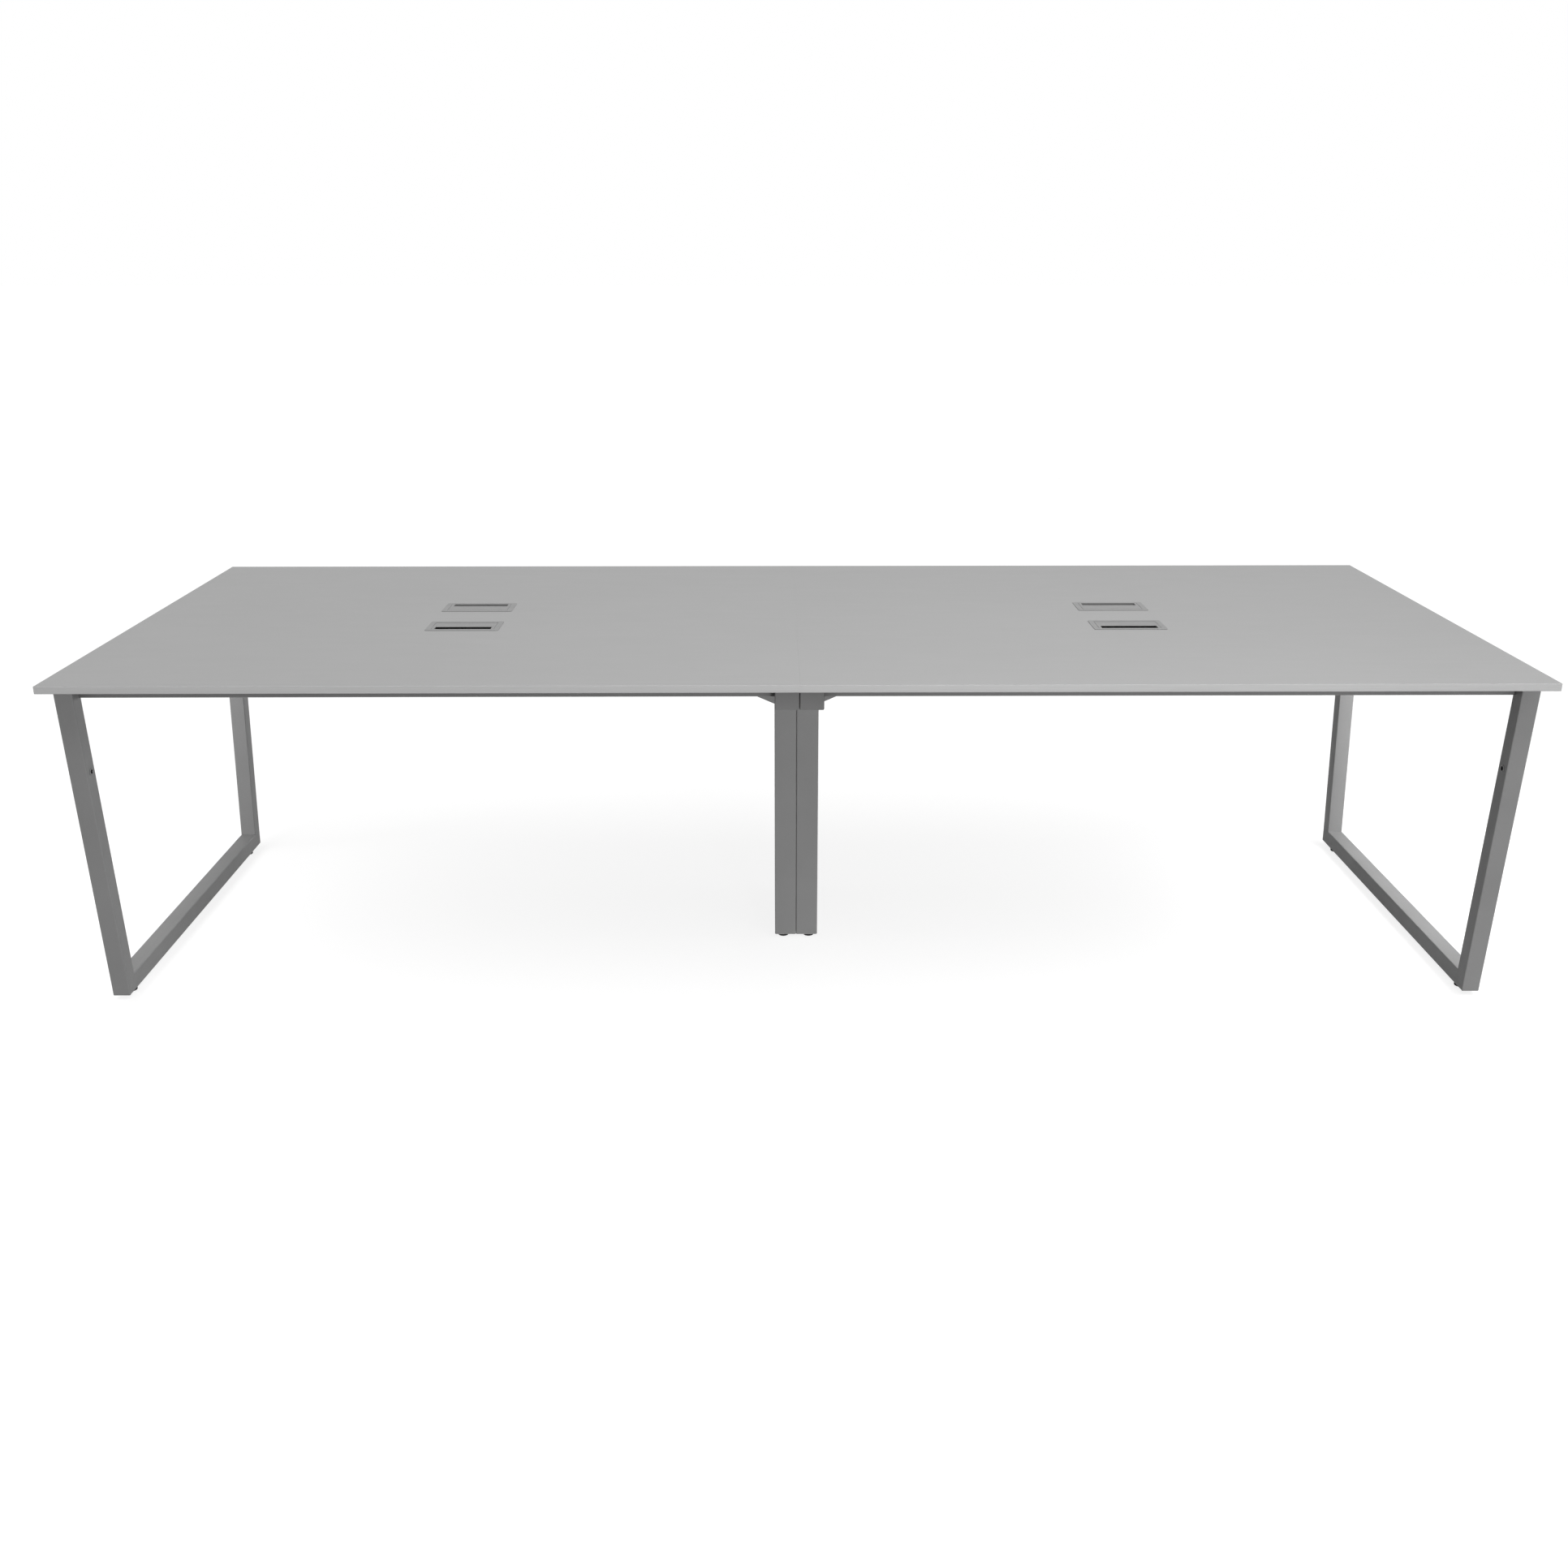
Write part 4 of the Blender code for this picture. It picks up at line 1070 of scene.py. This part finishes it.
def build_top_screws():
    """Wood screw heads inside the tubes, seen through the access holes below them."""
    spots = {side: [] for side in SIDES}
    for place, y_sign, x_sign in PLACES:
        side = place.split("_")[1]
        low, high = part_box(f"beam_{place}")
        start, stop = (low.x, high.x) if x_sign > 0 else (high.x, low.x)
        outer = low.y if y_sign < 0 else high.y
        y = outer - y_sign * (high.z - low.z) / 2
        for share in BEAM_SCREW_SHARES:
            spots[side].append((start + (stop - start) * share, y, high.z - TUBE_WALL))
    for side in SIDES:
        for node, reach, wall in (
            (f"top_rail_{side}", RAIL_SCREW_Y, TUBE_WALL),
            (f"crossbeam_{side}", CROSSBEAM_SCREW_Y, CROSSBEAM_WALL),
        ):
            low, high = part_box(node)
            for sign in ENDS.values():
                spots[side].append(((low.x + high.x) / 2, sign * reach, high.z - wall))
        bm = bmesh.new()
        for spot in spots[side]:
            button_head(bm, placed(spot, (0, 0, -1)), TOP_SCREW_RADIUS, TOP_SCREW_HEIGHT)
        add_piece(f"top_screws_{side}", bm, "desk", "zinc_steel")


def hex_crown(across, face, crown, height):
    """The chamfered end of a hexagon, from its flat face to its full width."""
    outline = hexagon(across)
    chamfer = [(lesser(outline, across * share), level) for share, level in crown]
    return [(across * face, 0.0), *chamfer, (outline, height)]


def bolt_profile(across, head, length):
    """A hexagon bolt from the top of its head, with a round collar under the head."""
    collar = across * BOLT_COLLAR
    return [
        (0, 0.0),
        *hex_crown(across, BOLT_FACE, BOLT_CROWN, BOLT_CROWN_HEIGHT),
        (hexagon(across), head - BOLT_COLLAR_HEIGHT - BOLT_COLLAR_STEP),
        (collar, head - BOLT_COLLAR_HEIGHT),
        (collar, head),
        (STUD_RADIUS, head),
        *thread_profile(STUD_RADIUS, length - BOLT_THREAD, length - BOLT_POINT),
        (STUD_RADIUS - BOLT_BEVEL, length),
        (0, length),
    ]


def nut_profile(across, height):
    """A hexagon nut with a plain bore. Its two ends are alike."""
    bore = STUD_RADIUS + NUT_SLACK
    crown = hex_crown(across, NUT_FACE, NUT_CROWN, NUT_CROWN_HEIGHT)
    near = [(bore, NUT_MOUTH_DEPTH), (bore + NUT_MOUTH, 0.0), *crown]
    far = [(radius, height - level) for radius, level in reversed(near)]
    return [*near, *far, near[0]]


def build_joining_bolts():
    """The bolts and nuts that join the crossbeam's halves."""
    for end in ENDS:
        low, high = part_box(f"joining_bolt_{end}")
        nut_low, nut_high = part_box(f"joining_nut_{end}")
        middle = (nut_low + nut_high) / 2
        across = min(nut_high.y - nut_low.y, nut_high.z - nut_low.z) / 2
        # The head bears as far from mid length as the nut, on the other side
        head = -nut_low.x - low.x
        bolt = bmesh.new()
        matrix = placed((low.x, middle.y, middle.z), (1, 0, 0))
        turned(bolt, bolt_profile(across, head, high.x - low.x), HEX_SEGMENTS, matrix)
        add_piece(f"hex_bolt_{end}", bolt, "desk", "zinc_steel", [f"joining_bolt_{end}"])
        nut = bmesh.new()
        matrix = placed((nut_low.x, middle.y, middle.z), (1, 0, 0))
        turned(nut, nut_profile(across, nut_high.x - nut_low.x), HEX_SEGMENTS, matrix)
        add_piece(f"hex_nut_{end}", nut, "desk", "zinc_steel", [f"joining_nut_{end}"])


# Welds and the seam of the top


def weld_plate(bm, first, last, tube):
    """A thin plate that fills a tube's mitre from its outer to its inner corner."""
    across = Vector((1, 0, 0))
    along = (last - first).normalized()
    turn = Matrix((across, along, across.cross(along))).transposed().to_4x4()
    half_x = tube / 2 - WELD_SINK
    half_y = (last - first).length / 2 - WELD_SINK
    outline = rounded_outline((-half_x, -half_y), (half_x, half_y), TUBE_CORNER, WELD_CORNER_STEPS)
    known = set(bm.verts)
    raise_loops(bm, [(outline, -WELD_WIDTH / 2), (outline, WELD_WIDTH / 2)], closed=False)
    fresh = [vertex for vertex in bm.verts if vertex not in known]
    bmesh.ops.transform(bm, matrix=Matrix.Translation((first + last) / 2) @ turn, verts=fresh)


def build_mitre_welds():
    """The welds that close the end frames' mitres, ground flush and painted."""
    for side in SIDES:
        top_low, top_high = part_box(f"top_rail_{side}")
        foot_low, foot_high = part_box(f"foot_rail_{side}")
        x = (foot_low.x + foot_high.x) / 2
        tube = foot_high.z - foot_low.z
        foot_reach = foot_high.y + MITRE_GAP
        top_reach = top_high.y + MITRE_GAP
        lean = math.atan2(top_reach - foot_reach, top_high.z - foot_low.z)

        def inner(height):
            outer = foot_reach + (height - foot_low.z) * math.tan(lean)
            return outer - tube / math.cos(lean)

        mitres = (
            ((foot_reach, foot_low.z), (inner(foot_high.z), foot_high.z)),
            ((top_reach, top_high.z), (inner(top_low.z), top_low.z)),
        )
        bm = bmesh.new()
        for mitre in mitres:
            for sign in ENDS.values():
                first, last = [Vector((x, sign * y, z)) for y, z in mitre]
                weld_plate(bm, first, last, tube)
        add_piece(f"mitre_welds_{side}", bm, "desk", "frame_paint")


def build_seam_strip():
    """The melamine lipping in the hairline between the two half tops."""
    left_low, left_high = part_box("desktop_left")
    right_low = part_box("desktop_right")[0]
    bm = bmesh.new()
    half = (right_low.x - left_high.x) / 2 - SEAM_SLACK
    soft_box(
        bm,
        (-half, left_low.y + BAND_THICKNESS, left_low.z + SEAM_SINK),
        (half, left_high.y - BAND_THICKNESS, left_high.z - SEAM_SINK),
        half * SEAM_EDGE_SHARE,
    )
    add_piece("seam_lipping", bm, "desk", "laminate")


# Stage


def seen_rays(tree):
    """1 on rays that are seen: straight to the camera, or by way of gloss or glass."""
    rays = tree.nodes.new("ShaderNodeLightPath")
    shown = rays.outputs["Is Camera Ray"]
    for kind in ("Is Glossy Ray", "Is Transmission Ray"):
        either = tree.nodes.new("ShaderNodeMath")
        either.operation = "MAXIMUM"
        tree.links.new(shown, either.inputs[0])
        tree.links.new(rays.outputs[kind], either.inputs[1])
        shown = either.outputs["Value"]
    return shown


def build_floor():
    """A floor that takes soft shadows, and is lifted to near white where it is seen."""
    bm = bmesh.new()
    bmesh.ops.create_grid(
        bm, x_segments=FLOOR_CELLS, y_segments=FLOOR_CELLS, size=FLOOR_SIZE / 2
    )
    mesh = bpy.data.meshes.new("floor")
    bm.to_mesh(mesh)
    bm.free()
    floor = bpy.data.objects.new("floor", mesh)
    bpy.context.scene.collection.objects.link(floor)
    floor.location.z = -FLOOR_DROP
    material = bpy.data.materials.new("floor_paint")
    material.use_nodes = True
    nodes = material.node_tree.nodes
    links = material.node_tree.links
    shader = nodes["Principled BSDF"]
    shader.inputs["Base Color"].default_value = (FLOOR_GREY, FLOOR_GREY, FLOOR_GREY, 1)
    shader.inputs["Roughness"].default_value = FLOOR_ROUGHNESS
    shader.inputs["Specular IOR Level"].default_value = 0.0
    glow = nodes.new("ShaderNodeEmission")
    level = nodes.new("ShaderNodeMath")
    level.operation = "MULTIPLY"
    level.inputs[1].default_value = FLOOR_LIFT
    links.new(seen_rays(material.node_tree), level.inputs[0])
    links.new(level.outputs["Value"], glow.inputs["Strength"])
    both = nodes.new("ShaderNodeAddShader")
    links.new(shader.outputs["BSDF"], both.inputs[0])
    links.new(glow.outputs["Emission"], both.inputs[1])
    links.new(both.outputs["Shader"], nodes["Material Output"].inputs["Surface"])
    mesh.materials.append(material)


def build_sky():
    """A sky that is white where it is seen, and lights the desk at its own level."""
    world = bpy.data.worlds.new("studio")
    bpy.context.scene.world = world
    world.use_nodes = True
    nodes = world.node_tree.nodes
    links = world.node_tree.links
    lit = nodes["Background"]
    lit.inputs["Color"].default_value = (1, 1, 1, 1)
    lit.inputs["Strength"].default_value = SKY_LEVEL
    seen = nodes.new("ShaderNodeBackground")
    seen.inputs["Color"].default_value = (1, 1, 1, 1)
    seen.inputs["Strength"].default_value = 1.0
    mix = nodes.new("ShaderNodeMixShader")
    links.new(seen_rays(world.node_tree), mix.inputs["Fac"])
    links.new(lit.outputs["Background"], mix.inputs[1])
    links.new(seen.outputs["Background"], mix.inputs[2])
    links.new(mix.outputs["Shader"], nodes["World Output"].inputs["Surface"])


def add_light(name, kind, place, aim):
    """A light that the camera doesn't see."""
    data = bpy.data.lights.new(name, kind)
    light = bpy.data.objects.new(name, data)
    bpy.context.scene.collection.objects.link(light)
    light.location = place
    light.rotation_euler = (Vector(aim) - Vector(place)).to_track_quat("-Z", "Y").to_euler()
    light.visible_camera = False
    return data


def build_lights():
    """A wide sun, a key light on the top, softboxes and rail lights at both ends, and low fills."""
    sun = add_light("overhead", "SUN", SUN_FROM, (0, 0, 0))
    sun.energy = SUN_LEVEL
    sun.angle = SUN_SPREAD
    for side, sign in SIDES.items():
        place = (sign * SOFTBOX_REACH, SOFTBOX_Y, SOFTBOX_HEIGHT)
        aim = (sign * SOFTBOX_AIM[0], *SOFTBOX_AIM[1:])
        softbox = add_light(f"softbox_{side}", "AREA", place, aim)
        softbox.size = SOFTBOX_SIZE
        softbox.energy = SOFTBOX_POWER[side]
        place = (sign * RAIL_LIGHT_X, 0.0, RAIL_LIGHT_HEIGHT)
        rail = add_light(f"rail_light_{side}", "AREA", place, (sign * RAIL_LIGHT_X, 0.0, 0.0))
        rail.shape = "RECTANGLE"
        rail.size = RAIL_LIGHT_WIDTH
        rail.size_y = RAIL_LIGHT_LENGTH
        rail.energy = RAIL_LIGHT_POWER[side]
    for end, sign in ENDS.items():
        place = (FILL_X, sign * FILL_REACH, FILL_HEIGHT)
        fill = add_light(f"fill_{end}", "AREA", place, FILL_AIM)
        fill.size = FILL_SIZE
        fill.energy = FILL_POWER[end]
    key = add_light("key_front", "AREA", KEY_PLACE, KEY_AIM)
    key.size = KEY_SIZE
    key.energy = KEY_POWER


def build_camera():
    data = bpy.data.cameras.new("camera")
    camera = bpy.data.objects.new("camera", data)
    bpy.context.scene.collection.objects.link(camera)
    data.lens = CAMERA_LENS
    data.sensor_width = CAMERA_SENSOR
    camera.location = CAMERA_PLACE
    camera.rotation_euler = (math.pi / 2 - CAMERA_PITCH, 0, CAMERA_YAW)
    bpy.context.scene.camera = camera


# Assembly

bpy.context.scene.view_settings.view_transform = "Standard"
build_camera()
build_sky()
build_lights()
build_floor()
dress_nodes()
for place_name, y_direction, _ in PLACES:
    build_bezel(place_name, y_direction)
    build_lid(place_name, y_direction)
    build_foot(place_name, "")
    build_foot(place_name, "column_")
build_inserts()
build_tray_screws()
build_tab_bolts()
build_top_screws()
build_joining_bolts()
build_mitre_welds()
build_seam_strip()
